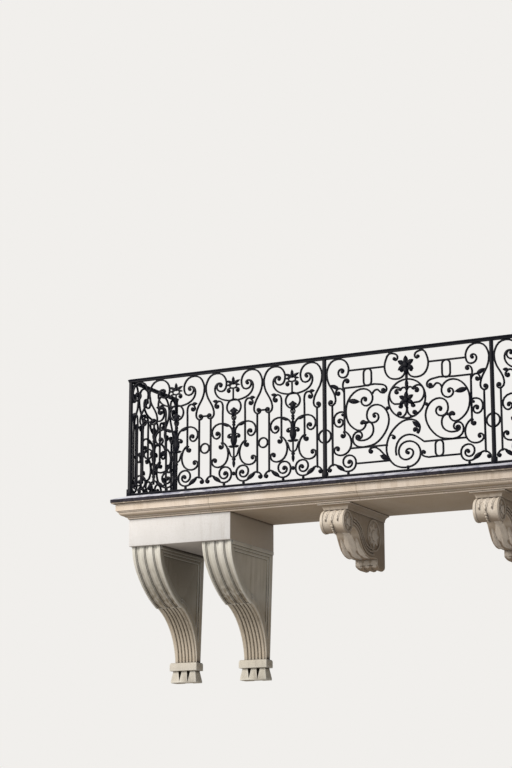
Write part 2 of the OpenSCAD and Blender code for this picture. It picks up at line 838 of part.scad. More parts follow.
// Foot block with three drops side by side in front, and one more behind at
// each side; a plain core joins them
module console_foot(x) {
    pitch_x = (foot_w - drop_w) / 2 - drop_in;
    front_y = drop_in + drop_w / 2 - foot_d;
    top_out = fillet_out;
    color(console_stone)
        translate([x, 0, top_z + foot_z]) {
            moulded([[-top_out, 0], [-top_out, -top_out], [0, -2 * top_out], [0, -foot_h]],
                foot_w / 2, foot_d);
            translate([0, 0, -foot_h]) {
                for (i = [-1:1])
                    drop(i * pitch_x, front_y);
                for (i = [-1, 1])
                    drop(i * pitch_x, -drop_w / 2);
                translate([-pitch_x, -foot_d / 2, -drop_h / 2])
                    cube([2 * pitch_x, foot_d / 2, drop_h / 2]);
            }
        }
}

// Modillions, drawn from the wall outwards and from the cap downwards

cap_z = -slab_h - cap_h;
drum_c = [rail_out - drum_in, -drum_r - rim_out];
volute_c = [volute_in, -volute_r - relief];
// From the lowest part of the body forwards to the drum
neck = drum_c[0] - body_d;
// Underside of the body, from the drum back to the pendant, inset upwards
function body_curve(inset) = smooth([
    drum_c + [-drum_r * 0.95, -drum_r * 0.3] + inset * [-0.5, 0.9],
    [body_d + neck * 0.39, -body_h * 0.525] + inset * [-0.7, 0.7],
    [body_d + neck * 0.28, -body_h * 0.7] + inset * [-0.85, 0.5],
    [body_d + neck * 0.15, -body_h * 0.865] + inset * [-0.7, 0.7],
    [body_d * 0.95, -body_h * 0.985] + inset * [-0.3, 0.95],
    [body_d * 0.6, -body_h + inset]]);

module body_outline() {
    polygon(concat([[0, 0], [drum_c[0], 0], drum_c], body_curve(0), [[0, -body_h]]));
}

// Three-lobed leaf that hangs against the wall
module pendant() {
    lobe = modillion_w / 6;
    low = -body_h - pendant_h;
    intersection() {
        across(modillion_w)
            polygon([[0, over - body_h], [pendant_d, over - body_h], [pendant_d, low + pendant_h * 0.4],
                [pendant_d * 0.6, low], [0, low]]);
        rotate([90, 0, 0])
            linear_extrude(pendant_d) {
                for (i = [-1:1])
                    translate([2 * i * lobe, low + lobe])
                        circle(r = lobe, $fn = 24);
                translate([-modillion_w / 2, low + lobe])
                    square([modillion_w, pendant_h]);
            }
    }
}

// Ridges that follow the underside, a volute at the wall and the drum's ends
module side_relief() {
    for (i = [1:rib_n])
        bar(body_curve(i * rib_pitch), rib_pitch / 2);
    translate(volute_c)
        difference() {
            circle(r = volute_r, $fn = drum_fn);
            circle(r = volute_r - rib_pitch / 2, $fn = drum_fn);
        }
    eye(volute_c, volute_r / 3);
    translate(drum_c)
        difference() {
            circle(r = drum_r, $fn = drum_fn);
            circle(r = drum_r - relief * 2, $fn = drum_fn);
        }
    eye(drum_c, drum_r / 3);
}

module modillion(side) {
    color(console_stone)
        translate([side * modillion_x, 0, top_z + cap_z]) {
            across(modillion_w) {
                body_outline();
                translate(drum_c)
                    circle(r = drum_r, $fn = drum_fn);
            }
            for (end = [-1, 1])
                translate([end * (modillion_w - rim_w) / 2, 0, 0])
                    across(rim_w)
                        translate(drum_c)
                            circle(r = drum_r + rim_out, $fn = drum_fn);
            pendant();
            across(modillion_w + 2 * relief)
                offset(delta = weld)
                    side_relief();
        }
}

module modillion_cap(side) {
    color(console_stone)
        translate([side * modillion_x, 0, top_z - slab_h])
            moulded(concat([[0, 0]], quarter([0, -cap_h * 0.2], [-cap_out, -cap_h], false)),
                modillion_w / 2 + cap_out + relief, rail_out);
}

// Posts and rails

module post(x, y, w, t) {
    color(iron)
        translate([x, y, top_z]) {
            translate([-w / 2, -t / 2, 0])
                cube([w, t, rail_under]);
            translate([-w / 2 - base_out, -t / 2 - base_out, 0])
                cube([w + 2 * base_out, t + 2 * base_out, base_h]);
        }
}

module corner_post(side) {
    post(side * half, -rail_out, corner_w, corner_w);
}

module middle_post(side) {
    post(side * mid_post_x, -rail_out, post_w, post_t);
}

module wall_post(side) {
    color(iron)
        translate([side * half - post_t / 2, -wall_post_w, top_z])
            cube([post_t, wall_post_w, rail_under]);
}

// Outline of the moulded handrail: flat plate, a bead at each side, low arch
rail_plate_t = 8;
rail_bead_r = 9;
rail_arch_h = 8;

module rail_outline() {
    flat = rail_w / 2 - rail_bead_r / 2;
    neck = rail_w / 2 - rail_bead_r;
    bead_z = rail_plate_t + rail_bead_r * 0.9;
    arch_r = (pow(flat, 2) + pow(rail_arch_h, 2)) / (2 * rail_arch_h);
    translate([-flat, 0])
        square([2 * flat, rail_plate_t]);
    translate([-neck, 0])
        square([2 * neck, rail_t - rail_arch_h]);
    for (s = [-1, 1])
        translate([s * neck, bead_z])
            circle(r = rail_bead_r, $fn = 24);
    intersection() {
        translate([0, rail_t - arch_r])
            circle(r = arch_r, $fn = 64);
        translate([-flat, bead_z])
            square([2 * flat, rail_t]);
    }
}

// Upright block over the given plan, which cuts a rail's mitres
module rail_plan(points) {
    translate([0, 0, top_z + rail_under - over])
        linear_extrude(rail_t + 2 * over)
            polygon(points);
}

rail_outer = [half + rail_w / 2, -rail_out - rail_w / 2];
rail_inner = [half - rail_w / 2, -rail_out + rail_w / 2];

module rail_front() {
    color(iron)
        intersection() {
            translate([-rail_outer[0], -rail_out, top_z + rail_under])
                rotate([90, 0, 90])
                    linear_extrude(2 * rail_outer[0])
                        rail_outline();
            rail_plan([[-rail_outer[0], rail_outer[1]], rail_outer,
                rail_inner, [-rail_inner[0], rail_inner[1]]]);
        }
}

module rail_return(side) {
    color(iron)
        intersection() {
            translate([side * half, 0, top_z + rail_under])
                rotate([90, 0, 0])
                    linear_extrude(-rail_outer[1])
                        rail_outline();
            rail_plan([[side * rail_outer[0], 0], [side * rail_outer[0], rail_outer[1]],
                [side * rail_inner[0], rail_inner[1]], [side * rail_inner[0], 0]]);
        }
}

// Bottom rail between two posts of the front
module low_rail(x0, x1) {
    translate([x0, -rail_out - low_rail_w / 2, top_z + low_rail_z])
        cube([x1 - x0, low_rail_w, low_rail_t]);
}

// Stub foot under the middle of a panel, between the bottom rail and the slab
module stub(x, y) {
    translate([x - bar_w / 2, y - bar_w / 2, top_z])
        cube([bar_w, bar_w, low_rail_z]);
}

module bottom_rail_front() {
    inner = wide_clear / 2;
    outer = inner + post_w;
    end = half - corner_w / 2 - base_out;
    color(iron) {
        stub(0, -rail_out);
        for (side = [-1, 1], i = [1:panel_n])
            stub(side * panel_x(i), -rail_out);
        low_rail(-inner + base_out, inner - base_out);
        low_rail(outer + base_out, end);
        low_rail(-end, -outer - base_out);
    }
}

module bottom_rail_return(side) {
    base = corner_w / 2 + base_out;
    color(iron) {
        stub(side * half, -wall_post_w - return_clear / 2);
        translate([side * half - low_rail_w / 2, base - rail_out, top_z + low_rail_z])
            cube([low_rail_w, rail_out - base - wall_post_w, low_rail_t]);
    }
}

// Panels

// Middle of front panel i, counted from the corner, and its corner-side joint
function joint_x(i) = half - corner_w / 2 - strip_w - (i - 1) * 2 * panel_half;
function panel_x(i) = joint_x(i) - panel_half;

module scroll_panel(side, i) {
    color(iron)
        in_front(side * panel_x(i))
            narrow_panel(panel_half);
}

module wide_side(side) {
    color(iron)
        in_front(0)
            mirror([side > 0 ? 0 : 1, 0])
                wide_scrolls(wide_clear / 2);
}

module centre_medallion() {
    color(iron)
        in_front(0)
            medallion_pattern();
}

module snail_scroll() {
    color(iron)
        in_front(0)
            snail_pattern();
}

module corner_strip(side) {
    color(iron)
        in_front(side * joint_x(1))
            mirror([side > 0 ? 0 : 1, 0])
                closing_strip(strip_w);
}

return_clear = rail_out - corner_w / 2 - wall_post_w;
return_half = return_clear / 2 - return_strip;

// One narrow panel between two closing strips
module return_panel(side) {
    middle = wall_post_w + return_clear / 2;
    color(iron)
        in_return(side)
            translate([middle, 0]) {
                narrow_panel(return_half);
                both_sides()
                    translate([return_half, 0]) {
                        closing_strip(return_strip);
                        joint_ring(-upright_x, strip_upright(return_strip));
                    }
            }
}

// Ring between the two uprights at x0 and x1 beside a joint, and the tie
// between the eyes of their lyres
module joint_ring(x0, x1) {
    ring([(x0 + x1) / 2, ring_z], (x1 - x0) / 2 - bar_w);
    bar([[x0 + lyre_eye_in, lyre_eye_z], [x1 - lyre_eye_in, lyre_eye_z]]);
}

module joint_rings() {
    color(iron)
        for (side = [-1, 1], i = [1:panel_n])
            in_front(side * joint_x(i))
                joint_ring(-upright_x, upright_x);
}

// Shapes that lie on the street side of the bars
module on_front(x) {
    translate([0, -(bar_t + rosette_t) / 2, 0])
        in_front(x, rosette_t)
            children();
}

module rosettes() {
    color(iron)
        for (side = [-1, 1], i = [1:panel_n])
            on_front(side * panel_x(i))
                rosette([0, rosette_z], panel_half - lyre_reach, level_lo);
}

module medallion_flowers() {
    color(iron)
        on_front(0) {
            flower([0, 864], 78, 6);
            flower(medallion_c - [0, 12], 70, 6);
        }
}

stone_slab();
lead_flashing();
bearing_block(-1);  // bearing_block_left
bearing_block(1);  // bearing_block_right
console(-console_outer_x);  // console_left_outer
console(-console_inner_x);  // console_left_inner
console(console_inner_x);  // console_right_inner
console(console_outer_x);  // console_right_outer
console_foot(-console_outer_x);  // console_foot_left_outer
console_foot(-console_inner_x);  // console_foot_left_inner
console_foot(console_inner_x);  // console_foot_right_inner
console_foot(console_outer_x);  // console_foot_right_outer
modillion(-1);  // modillion_left
modillion(1);  // modillion_right
modillion_cap(-1);  // modillion_cap_left
modillion_cap(1);  // modillion_cap_right
corner_post(-1);  // corner_post_left
corner_post(1);  // corner_post_right
middle_post(-1);  // middle_post_left
middle_post(1);  // middle_post_right
wall_post(-1);  // wall_post_left
wall_post(1);  // wall_post_right
rail_front();  // top_rail_front
rail_return(-1);  // top_rail_left
rail_return(1);  // top_rail_right
bottom_rail_front();
bottom_rail_return(-1);  // bottom_rail_left
bottom_rail_return(1);  // bottom_rail_right
wide_side(-1);  // wide_scrolls_left
wide_side(1);  // wide_scrolls_right
centre_medallion();
snail_scroll();
scroll_panel(-1, 1);  // scroll_panel_left_1
scroll_panel(-1, 2);  // scroll_panel_left_2
scroll_panel(-1, 3);  // scroll_panel_left_3
scroll_panel(1, 1);  // scroll_panel_right_1
scroll_panel(1, 2);  // scroll_panel_right_2
scroll_panel(1, 3);  // scroll_panel_right_3
corner_strip(-1);  // corner_strip_left
corner_strip(1);  // corner_strip_right
return_panel(-1);  // return_panel_left
return_panel(1);  // return_panel_right
joint_rings();
rosettes();
medallion_flowers();
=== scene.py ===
"""Looks of a wrought iron balcony on a moulded stone slab with scroll consoles.

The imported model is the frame. Every piece here is in metres, in that frame:
X runs along the front, -Y points to the street and +Z is up.
"""

import json
import logging
import math
import random
from dataclasses import dataclass, field
from enum import Enum

import bmesh
import bpy
from mathutils import Matrix, Vector

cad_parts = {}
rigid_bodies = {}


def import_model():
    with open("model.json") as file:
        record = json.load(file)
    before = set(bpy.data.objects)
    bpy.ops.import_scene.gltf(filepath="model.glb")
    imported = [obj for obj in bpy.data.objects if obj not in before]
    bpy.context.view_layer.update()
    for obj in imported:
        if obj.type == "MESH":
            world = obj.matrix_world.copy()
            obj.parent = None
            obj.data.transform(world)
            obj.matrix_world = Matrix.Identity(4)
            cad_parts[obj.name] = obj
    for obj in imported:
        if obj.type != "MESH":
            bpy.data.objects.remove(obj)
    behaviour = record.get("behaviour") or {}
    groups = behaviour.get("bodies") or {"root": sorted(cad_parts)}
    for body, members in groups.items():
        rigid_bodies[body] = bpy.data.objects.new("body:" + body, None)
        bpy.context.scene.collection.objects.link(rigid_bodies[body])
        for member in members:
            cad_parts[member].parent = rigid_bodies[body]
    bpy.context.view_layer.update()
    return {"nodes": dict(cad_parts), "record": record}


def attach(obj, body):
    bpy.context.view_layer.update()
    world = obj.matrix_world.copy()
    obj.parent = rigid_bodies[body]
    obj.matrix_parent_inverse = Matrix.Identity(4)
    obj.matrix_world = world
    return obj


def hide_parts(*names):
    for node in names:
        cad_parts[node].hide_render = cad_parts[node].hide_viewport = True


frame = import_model()
NODES = frame["nodes"]

logging.basicConfig(level=logging.INFO, format="%(message)s")
LOG = logging.getLogger("balcony")

SEED = 7
MM = 0.001
MERGE_MM = 0.05  # points of the CAD mesh closer than this are one point
FLAT_DEG = 0.5  # triangles that meet at less than this are one flat face
SMOOTH_DEG = 50.0  # forged and carved faces that meet at less than this look smooth


Object = bpy.types.Object
Material = bpy.types.Material
Tree = bpy.types.NodeTree
Node = bpy.types.Node
Socket = bpy.types.NodeSocket
Span = tuple[float, float]
Triple = tuple[float, float, float]
Colour = tuple[float, float, float, float]


class Side(Enum):
    """The two ends of the balcony, as seen from the street."""

    LEFT = -1
    RIGHT = 1


class Slot(Enum):
    """Material slots of the record."""

    LIMESTONE = "limestone"
    CARVED = "carved_stone"
    SHEET = "lead_sheet"
    IRON = "painted_iron"


def linear(hex_colour: str) -> Colour:
    """Turns an sRGB hex colour into the linear values that shaders use.

    Args:
        hex_colour: Colour such as "#c8b79c".

    Returns:
        Red, green, blue and alpha, each from 0 to 1.
    """
    digits = hex_colour.lstrip("#")
    parts = [int(digits[i : i + 2], 16) / 255 for i in (0, 2, 4)]
    flat = [p / 12.92 if p <= 0.04045 else ((p + 0.055) / 1.055) ** 2.4 for p in parts]
    return flat[0], flat[1], flat[2], 1.0


def fill(tree: Tree, node: Node, inputs: dict[str | int, object]) -> None:
    """Sets or links inputs of a node.

    Args:
        tree: Node tree that holds the node.
        node: The node.
        inputs: Values or output sockets for its inputs, by name or number.
    """
    for key, value in inputs.items():
        if isinstance(value, Socket):
            tree.links.new(value, node.inputs[key])
        else:
            node.inputs[key].default_value = value


def add_node(
    tree: Tree,
    kind: str,
    inputs: dict[str | int, object] | None = None,
    output: str | int = 0,
    **settings: object,
) -> Socket:
    """Adds a shader node with its settings, values and links.

    Args:
        tree: Node tree that gets the node.
        kind: Blender's name of the node type, after "ShaderNode".
        inputs: Values or output sockets for its inputs, by name or number.
        output: The output that is wanted, by name or number.
        **settings: Properties of the node itself.

    Returns:
        The wanted output.
    """
    node = tree.nodes.new("ShaderNode" + kind)
    for name, value in settings.items():
        setattr(node, name, value)
    fill(tree, node, inputs or {})
    return node.outputs[output]


def with_stops(colour: Socket, *stops: tuple[float, str]) -> Socket:
    """Sets the two stops of the colour ramp behind a socket.

    Args:
        colour: Output of a colour ramp.
        *stops: Place and sRGB hex colour of each stop, in rising order.

    Returns:
        The same socket.
    """
    for element, (place, hex_colour) in zip(colour.node.color_ramp.elements, stops):
        element.position = place
        element.color = linear(hex_colour)
    return colour


def noise(tree: Tree, size_mm: Triple, detail: float, shift: float = 0.0) -> Socket:
    """Gives a pattern on object coordinates whose lumps have a real size.

    Args:
        tree: Node tree that gets the nodes.
        size_mm: Length of the lumps along X, Y and Z.
        detail: Octaves of the noise.
        shift: Moves the pattern, so that two patterns differ.

    Returns:
        The pattern's value.
    """
    scaled = add_node(
        tree,
        "Mapping",
        {
            "Vector": add_node(tree, "TexCoord", output="Object"),
            "Location": (shift, shift, shift),
            "Scale": tuple(1 / (s * MM) for s in size_mm),
        },
    )
    return add_node(tree, "TexNoise", {"Vector": scaled, "Scale": 1.0, "Detail": detail}, "Fac")


def over(value: Socket, span: Span, low: float = 0.0, high: float = 1.0) -> dict[str, object]:
    """Lists the inputs of a Map Range node.

    Args:
        value: The value that is mapped.
        span: Where it starts and ends.
        low: The result at the start.
        high: The result at the end.

    Returns:
        The inputs by name.
    """
    return {
        "Value": value, "From Min": span[0], "From Max": span[1], "To Min": low, "To Max": high
    }


def on_axis(tree: Tree, axis: str, span: Span | None = None, to: Span = (0.0, 1.0)) -> Socket:
    """Gives one axis of the place on the object, or where it is in a span.

    Args:
        tree: Node tree that gets the nodes.
        axis: "X", "Y" or "Z".
        span: Where the value starts and ends, or None for the place itself.
        to: The value at both ends.

    Returns:
        The value.
    """
    value = add_node(
        tree, "SeparateXYZ", {"Vector": add_node(tree, "TexCoord", output="Object")}, axis
    )
    return add_node(tree, "MapRange", over(value, span, *to)) if span else value


def turned_to(tree: Tree, axis: str, span: Span) -> Socket:
    """Shows which way a face looks.

    Args:
        tree: Node tree that gets the nodes.
        axis: "X", "Y" or "Z" of the face's normal.
        span: Where the value is 0 and where it is 1.

    Returns:
        The value.
    """
    normal = add_node(tree, "NewGeometry", output="Normal")
    return add_node(
        tree, "MapRange", over(add_node(tree, "SeparateXYZ", {"Vector": normal}, axis), span)
    )


def product(tree: Tree, first: Socket | float, *others: Socket | float) -> Socket:
    """Multiplies any number of values.

    Args:
        tree: Node tree that gets the nodes.
        first: First value or socket.
        *others: The others.

    Returns:
        Their product.
    """
    for factor in others:
        first = add_node(tree, "Math", {0: first, 1: factor}, operation="MULTIPLY")
    return first


def lay(tree: Tree, below: Socket, hex_colour: str, *factors: Socket | float) -> Socket:
    """Lays a colour over another, as strongly as the product of the factors.

    Args:
        tree: Node tree that gets the nodes.
        below: The colour that is covered.
        hex_colour: The sRGB colour that covers it.
        *factors: Values or sockets from 0 to 1.

    Returns:
        The mixed colour.
    """
    share = product(tree, *factors)
    return add_node(
        tree, "Mix", {0: share, 6: below, 7: linear(hex_colour)}, 2, data_type="RGBA"
    )


def new_material(name: str) -> tuple[Material, Tree, Node]:
    """Makes an empty node material.

    Args:
        name: Name of the material.

    Returns:
        The material, its node tree and its Principled shader.
    """
    material = bpy.data.materials.new(name)
    material.use_nodes = True
    tree = material.node_tree
    return material, tree, tree.nodes["Principled BSDF"]


def finish(
    tree: Tree, shader: Node, height: Socket, bump: float, bump_mm: float, **inputs: object
) -> None:
    """Gives a shader its relief and its other inputs.

    Args:
        tree: Node tree of the material.
        shader: Its Principled shader.
        height: Pattern of the relief.
        bump: Strength of the relief, from 0 to 1.
        bump_mm: Its height.
        **inputs: Values or sockets by name, with _ for each space.
    """
    relief = {"Height": height, "Strength": bump, "Distance": bump_mm * MM}
    fill(tree, shader, {"Normal": add_node(tree, "Bump", relief)})
    fill(tree, shader, {name.replace("_", " "): value for name, value in inputs.items()})


@dataclass(frozen=True)
class IronPaint:
    """Oil paint brushed on wrought iron, gone satin outdoors.

    It gives the eye a bluish near-black with soft highlights on the rounded
    edges, slightly uneven from the hammering below and from dust.
    """

    name: str = "brushed_oil_paint_on_wrought_iron"
    body: str = "#06070d"
    dusty: str = "#101322"
    hammer_mm: float = 22.0
    grain_mm: float = 3.0
    roughest: float = 0.58
    smoothest: float = 0.36
    specular: float = 0.11
    bump: float = 0.25
    bump_mm: float = 1.5

    def material(self) -> Material:
        """Builds the paint's material.

        Returns:
            The material.
        """
        material, tree, shader = new_material(self.name)
        dents = noise(tree, (self.hammer_mm,) * 3, detail=2.0)
        grain = noise(tree, (self.grain_mm,) * 3, detail=4.0, shift=3.7)
        colour = with_stops(
            add_node(tree, "ValToRGB", {"Fac": grain}), (0.35, self.body), (0.75, self.dusty)
        )
        rough = over(dents, (0.0, 1.0), self.smoothest, self.roughest)
        finish(
            tree, shader, dents, self.bump, self.bump_mm, Base_Color=colour,
            Roughness=add_node(tree, "MapRange", rough), Specular_IOR_Level=self.specular,
        )
        return material


@dataclass(frozen=True)
class SheetMetal:
    """Lead sheet, dressed by hand over the slab and weathered.

    It gives the eye a pale bluish oxide with a painted reflection of the sky where it
    looks up, and a dull grey-violet with faint runs where it turns down.
    """

    name: str = "weathered_lead_sheet"
    # pale oxide carrying a painted reflection of the sky, on faces that look up
    sky: str = "#f3f5ff"
    sky_reflection_dark: str = "#a3a6ba"
    body: str = "#2b2731"
    dark: str = "#161419"
    dent_mm: float = 70.0
    run_mm: Triple = (25.0, 25.0, 300.0)
    up_turn: Span = (0.3, 0.7)
    specular_down: float = 0.12
    specular_up: float = 0.5
    roughness: float = 0.45
    metallic: float = 0.05
    bump: float = 0.5
    bump_mm: float = 3.0

    def material(self) -> Material:
        """Builds the sheet's material.

        Returns:
            The material.
        """
        material, tree, shader = new_material(self.name)
        dents = noise(tree, (self.dent_mm,) * 3, detail=2.0)
        runs = noise(tree, self.run_mm, detail=3.0, shift=1.3)
        turned = with_stops(
            add_node(tree, "ValToRGB", {"Fac": runs}), (0.3, self.dark), (0.6, self.body)
        )
        # painted reflection of the sky, mottled like oxide, for faces that look up
        bloom_and_sky_reflection = with_stops(
            add_node(tree, "ValToRGB", {"Fac": dents}), (0.38, self.sky_reflection_dark), (0.54, self.sky)
        )
        up = turned_to(tree, "Z", self.up_turn)
        colour = add_node(tree, "Mix", {0: up, 6: turned, 7: bloom_and_sky_reflection}, 2, data_type="RGBA")
        shine = over(up, (0.0, 1.0), self.specular_down, self.specular_up)
        finish(
            tree, shader, dents, self.bump, self.bump_mm, Base_Color=colour,
            Roughness=self.roughness, Metallic=self.metallic,
            Specular_IOR_Level=add_node(tree, "MapRange", shine),
        )
        return material


@dataclass(frozen=True)
class Limestone:
    """Fine oolitic limestone, sawn or carved, and weathered outdoors.

    It gives the eye a warm pale body with small pits and broad cloudy patches,
    dark rain streaks, painted shade where the face looks down or to the right,
    in pockets, in its creases and under the sheet, and pale worn edges that
    also carry painted highlights.

    A share is how strongly a colour covers the stone. A span is where a mask
    goes from 0 to 1: _z spans are heights in metres, _turn spans are one axis
    of the face's normal, _open spans are how open the place is, and the rest
    are values of a pattern.
    """

    name: str
    pale: str  # the stone's pale tone, and worn edges that also carry a painted highlight
    body: str  # the cloudy patches
    streak: str
    underside_shade: str  # painted shade on faces that look down
    streak_share: float = 0.35
    underside_shade_share: float = 0.8
    shade: str = "#9b8a74"  # painted shade on faces that look to the right
    shade_share: float = 0.75
    # painted shade in creases, and under the sheet's drop
    crease_shade: str = "#5c5042"
    crease_shade_mm: float = 22.0
    crease_shade_share: float = 0.85
    side_crease_shade: float = 0.0  # how much farther the painted crease shade reaches on the flanks
    pocket_shade: str = "#5f574c"  # painted shade under the slab and between two consoles
    pocket_shade_mm: float = 700.0
    pocket_shade_share: float = 0.0
    warm: str = "#b5a38a"  # tint low on the piece: a warm tone on the consoles, painted shade on the modillions
    warm_z: Span | None = None
    warm_share: Span = (0.25, 0.7)  # on the foot, and above it
    foot_z: Span = (-1.25, -1.24)
    # pale convex edges: wear, and a painted highlight on the lit rims of the consoles
    worn_and_lit_mm: float = 9.0
    worn_and_lit_share: float = 0.5
    belly_z: Span | None = None  # heights between which runs gather
    belly_fade_m: Triple = (-0.01, 0.015, 0.05)  # from its low end: runs start, fill and thin out
    belly_share: float = 0.85
    thin_shade_z: Span = (-0.65, -0.45)  # where the painted crease shade is weaker on a belly's front
    thin_shade_share: float = 0.6
    sheet_shadow_z: Span | None = None  # painted shadow of the sheet's drop on the stone under it
    sheet_shadow_fade_m: Span = (0.004, 0.002)
    sheet_shadow_share: float = 0.8
    patch_mm: float = 260.0
    run_mm: Triple = (35.0, 35.0, 600.0)
    wet_mm: Triple = (500.0, 500.0, 350.0)
    run_span: Span = (0.48, 0.72)
    wet_span: Span = (0.4, 0.65)
    belly_span: Span = (0.38, 0.56)
    sheet_shadow_span: Span = (0.2, 0.45)
    front_turn: Span = (0.0, -0.4)
    right_turn: Span = (0.35, 0.85)
    back_turn: Span = (-0.5, -0.1)
    down_turn: Span = (-0.15, -0.9)
    side_turn: Span = (0.5, 0.8)
    pocket_shade_open: Span = (0.8, 0.35)
    crease_shade_open: Span = (0.9, 0.45)
    worn_and_lit_open: Span = (0.9, 0.5)
    pit: str = "#c9c4bc"
    pit_mm: float = 5.0
    pit_share: float = 0.55
    joint: str = "#8a7a66"
    joint_share: float = 0.6
    joint_m: float = 0.0
    joint_shift_m: float = 0.0
    joint_half_mm: Span = (4.5, 1.5)
    bump: float = 0.6
    bump_mm: float = 2.0
    roughness: float = 0.88
    specular: float = 0.3
    samples: int = 6

    def clouded(self, tree: Tree) -> Socket:
        """Gives the stone's colour, with its patches and its tint low on the piece.

        Args:
            tree: Node tree of the material.

        Returns:
            The colour.
        """
        clouds = noise(tree, (self.patch_mm,) * 3, detail=3.0)
        colour = with_stops(
            add_node(tree, "ValToRGB", {"Fac": clouds}), (0.3, self.body), (0.7, self.pale)
        )
        if not self.warm_z:
            return colour
        low, high = self.warm_z
        share = on_axis(tree, "Z", self.foot_z, self.warm_share)
        return lay(tree, colour, self.warm, on_axis(tree, "Z", (high, low)), share)

    def washed_front(self, tree: Tree) -> Socket:
        """Gives a mask of the faces that look to the street."""
        return turned_to(tree, "Y", self.front_turn)

    def streaked(self, tree: Tree, colour: Socket, runs: Socket) -> Socket:
        """Lays rain streaks over the stone, and thicker ones under a belly.

        Args:
            tree: Node tree of the material.
            colour: The stone.
            runs: Pattern of the runs.

        Returns:
            The new colour.
        """
        wet = noise(tree, self.wet_mm, detail=2.0, shift=8.3)
        dirty = product(
            tree,
            add_node(tree, "MapRange", over(runs, self.run_span)),
            add_node(tree, "MapRange", over(wet, self.wet_span)),
            self.streak_share,
        )
        if self.belly_z:
            low, high = self.belly_z
            start, full, thin = (low + rise for rise in self.belly_fade_m)
            band = product(
                tree,
                on_axis(tree, "Z", (high, thin)),
                on_axis(tree, "Z", (start, full)),
                add_node(tree, "MapRange", over(runs, self.belly_span)),
                self.washed_front(tree),
                self.belly_share,
            )
            dirty = add_node(tree, "Math", {0: dirty, 1: band}, operation="MAXIMUM")
        return lay(tree, colour, self.streak, dirty)

    def shaded(self, tree: Tree, colour: Socket) -> Socket:
        """Paints shade on the faces that look right or down, and in pockets.

        Args:
            tree: Node tree of the material.
            colour: The stone.

        Returns:
            The new colour.
        """
        # painted shade on faces that look to the right
        right = turned_to(tree, "X", self.right_turn)
        colour = lay(tree, colour, self.shade, right, self.shade_share)
        # painted shade where the place is hidden from the light
        if self.pocket_shade_share:
            around = add_node(
                tree, "AmbientOcclusion", {"Distance": self.pocket_shade_mm * MM}, "AO",
                samples=self.samples,
            )
            colour = lay(
                tree, colour, self.pocket_shade,
                add_node(tree, "MapRange", over(around, self.pocket_shade_open)),
                turned_to(tree, "Y", self.back_turn),
                self.pocket_shade_share,
            )
        # painted shade on faces that look down
        down = turned_to(tree, "Z", self.down_turn)
        return lay(tree, colour, self.underside_shade, down, self.underside_shade_share)

    def sheet_shadowed(self, tree: Tree, colour: Socket, runs: Socket) -> Socket:
        """Paints the shadow of the sheet's drop on the stone just under it.

        Args:
            tree: Node tree of the material.
            colour: The stone.
            runs: Pattern of the runs.

        Returns:
            The new colour.
        """
        if not self.sheet_shadow_z:
            return colour
        low, high = self.sheet_shadow_z
        below, above = self.sheet_shadow_fade_m
        # painted shadow of the sheet's drop, broken by the runs
        return lay(
            tree, colour, self.crease_shade,
            on_axis(tree, "Z", (low - below, low)),
            on_axis(tree, "Z", (high, high - above)),
            add_node(tree, "MapRange", over(runs, self.sheet_shadow_span)),
            self.sheet_shadow_share,
        )

    def crease_shaded(self, tree: Tree, colour: Socket) -> Socket:
        """Pales the worn edges, partly as a painted highlight, and paints shade in the creases.

        Args:
            tree: Node tree of the material.
            colour: The stone.

        Returns:
            The new colour.
        """
        start, end = self.side_turn
        side = add_node(
            tree,
            "Math",
            {0: turned_to(tree, "X", (start, end)), 1: turned_to(tree, "X", (-start, -end))},
            operation="ADD",
        )
        more = add_node(tree, "MapRange", over(side, (0.0, 1.0), 1.0, 1.0 + self.side_crease_shade))
        opening = add_node(
            tree, "AmbientOcclusion", {"Distance": product(tree, more, self.crease_shade_mm * MM)},
            "AO", samples=self.samples,
        )
        edge = add_node(
            tree, "AmbientOcclusion", {"Distance": self.worn_and_lit_mm * MM}, "AO",
            samples=self.samples, inside=True,
        )
        # worn convex edges, also a painted highlight on lit rims
        worn = add_node(tree, "MapRange", over(edge, self.worn_and_lit_open))
        colour = lay(tree, colour, self.pale, worn, self.worn_and_lit_share)
        # painted shade in the creases, reaching farther on the flanks
        crease_shade_mask = add_node(tree, "MapRange", over(opening, self.crease_shade_open, 0.0, self.crease_shade_share))
        crease_shade_mask = add_node(tree, "Math", {0: crease_shade_mask, 1: more}, operation="MULTIPLY", use_clamp=True)
        if self.belly_z:
            # thinner painted shade on a belly's front
            clean = product(tree, on_axis(tree, "Z", self.thin_shade_z), self.washed_front(tree))
            kept = add_node(tree, "MapRange", over(clean, (0.0, 1.0), 1.0, 1 - self.thin_shade_share))
            crease_shade_mask = product(tree, crease_shade_mask, kept)
        return lay(tree, colour, self.crease_shade, crease_shade_mask)

    def seam(self, tree: Tree) -> Socket:
        """Shows the joints between the slab's stones.

        Args:
            tree: Node tree of the material.

        Returns:
            1 in a joint and 0 beside it.
        """
        along = add_node(
            tree, "Math", {0: on_axis(tree, "X"), 1: self.joint_shift_m}, operation="ADD"
        )
        away = add_node(tree, "Math", {0: along, 1: self.joint_m / 2}, operation="PINGPONG")
        wide, narrow = self.joint_half_mm
        return add_node(tree, "MapRange", over(away, (wide * MM, narrow * MM)))

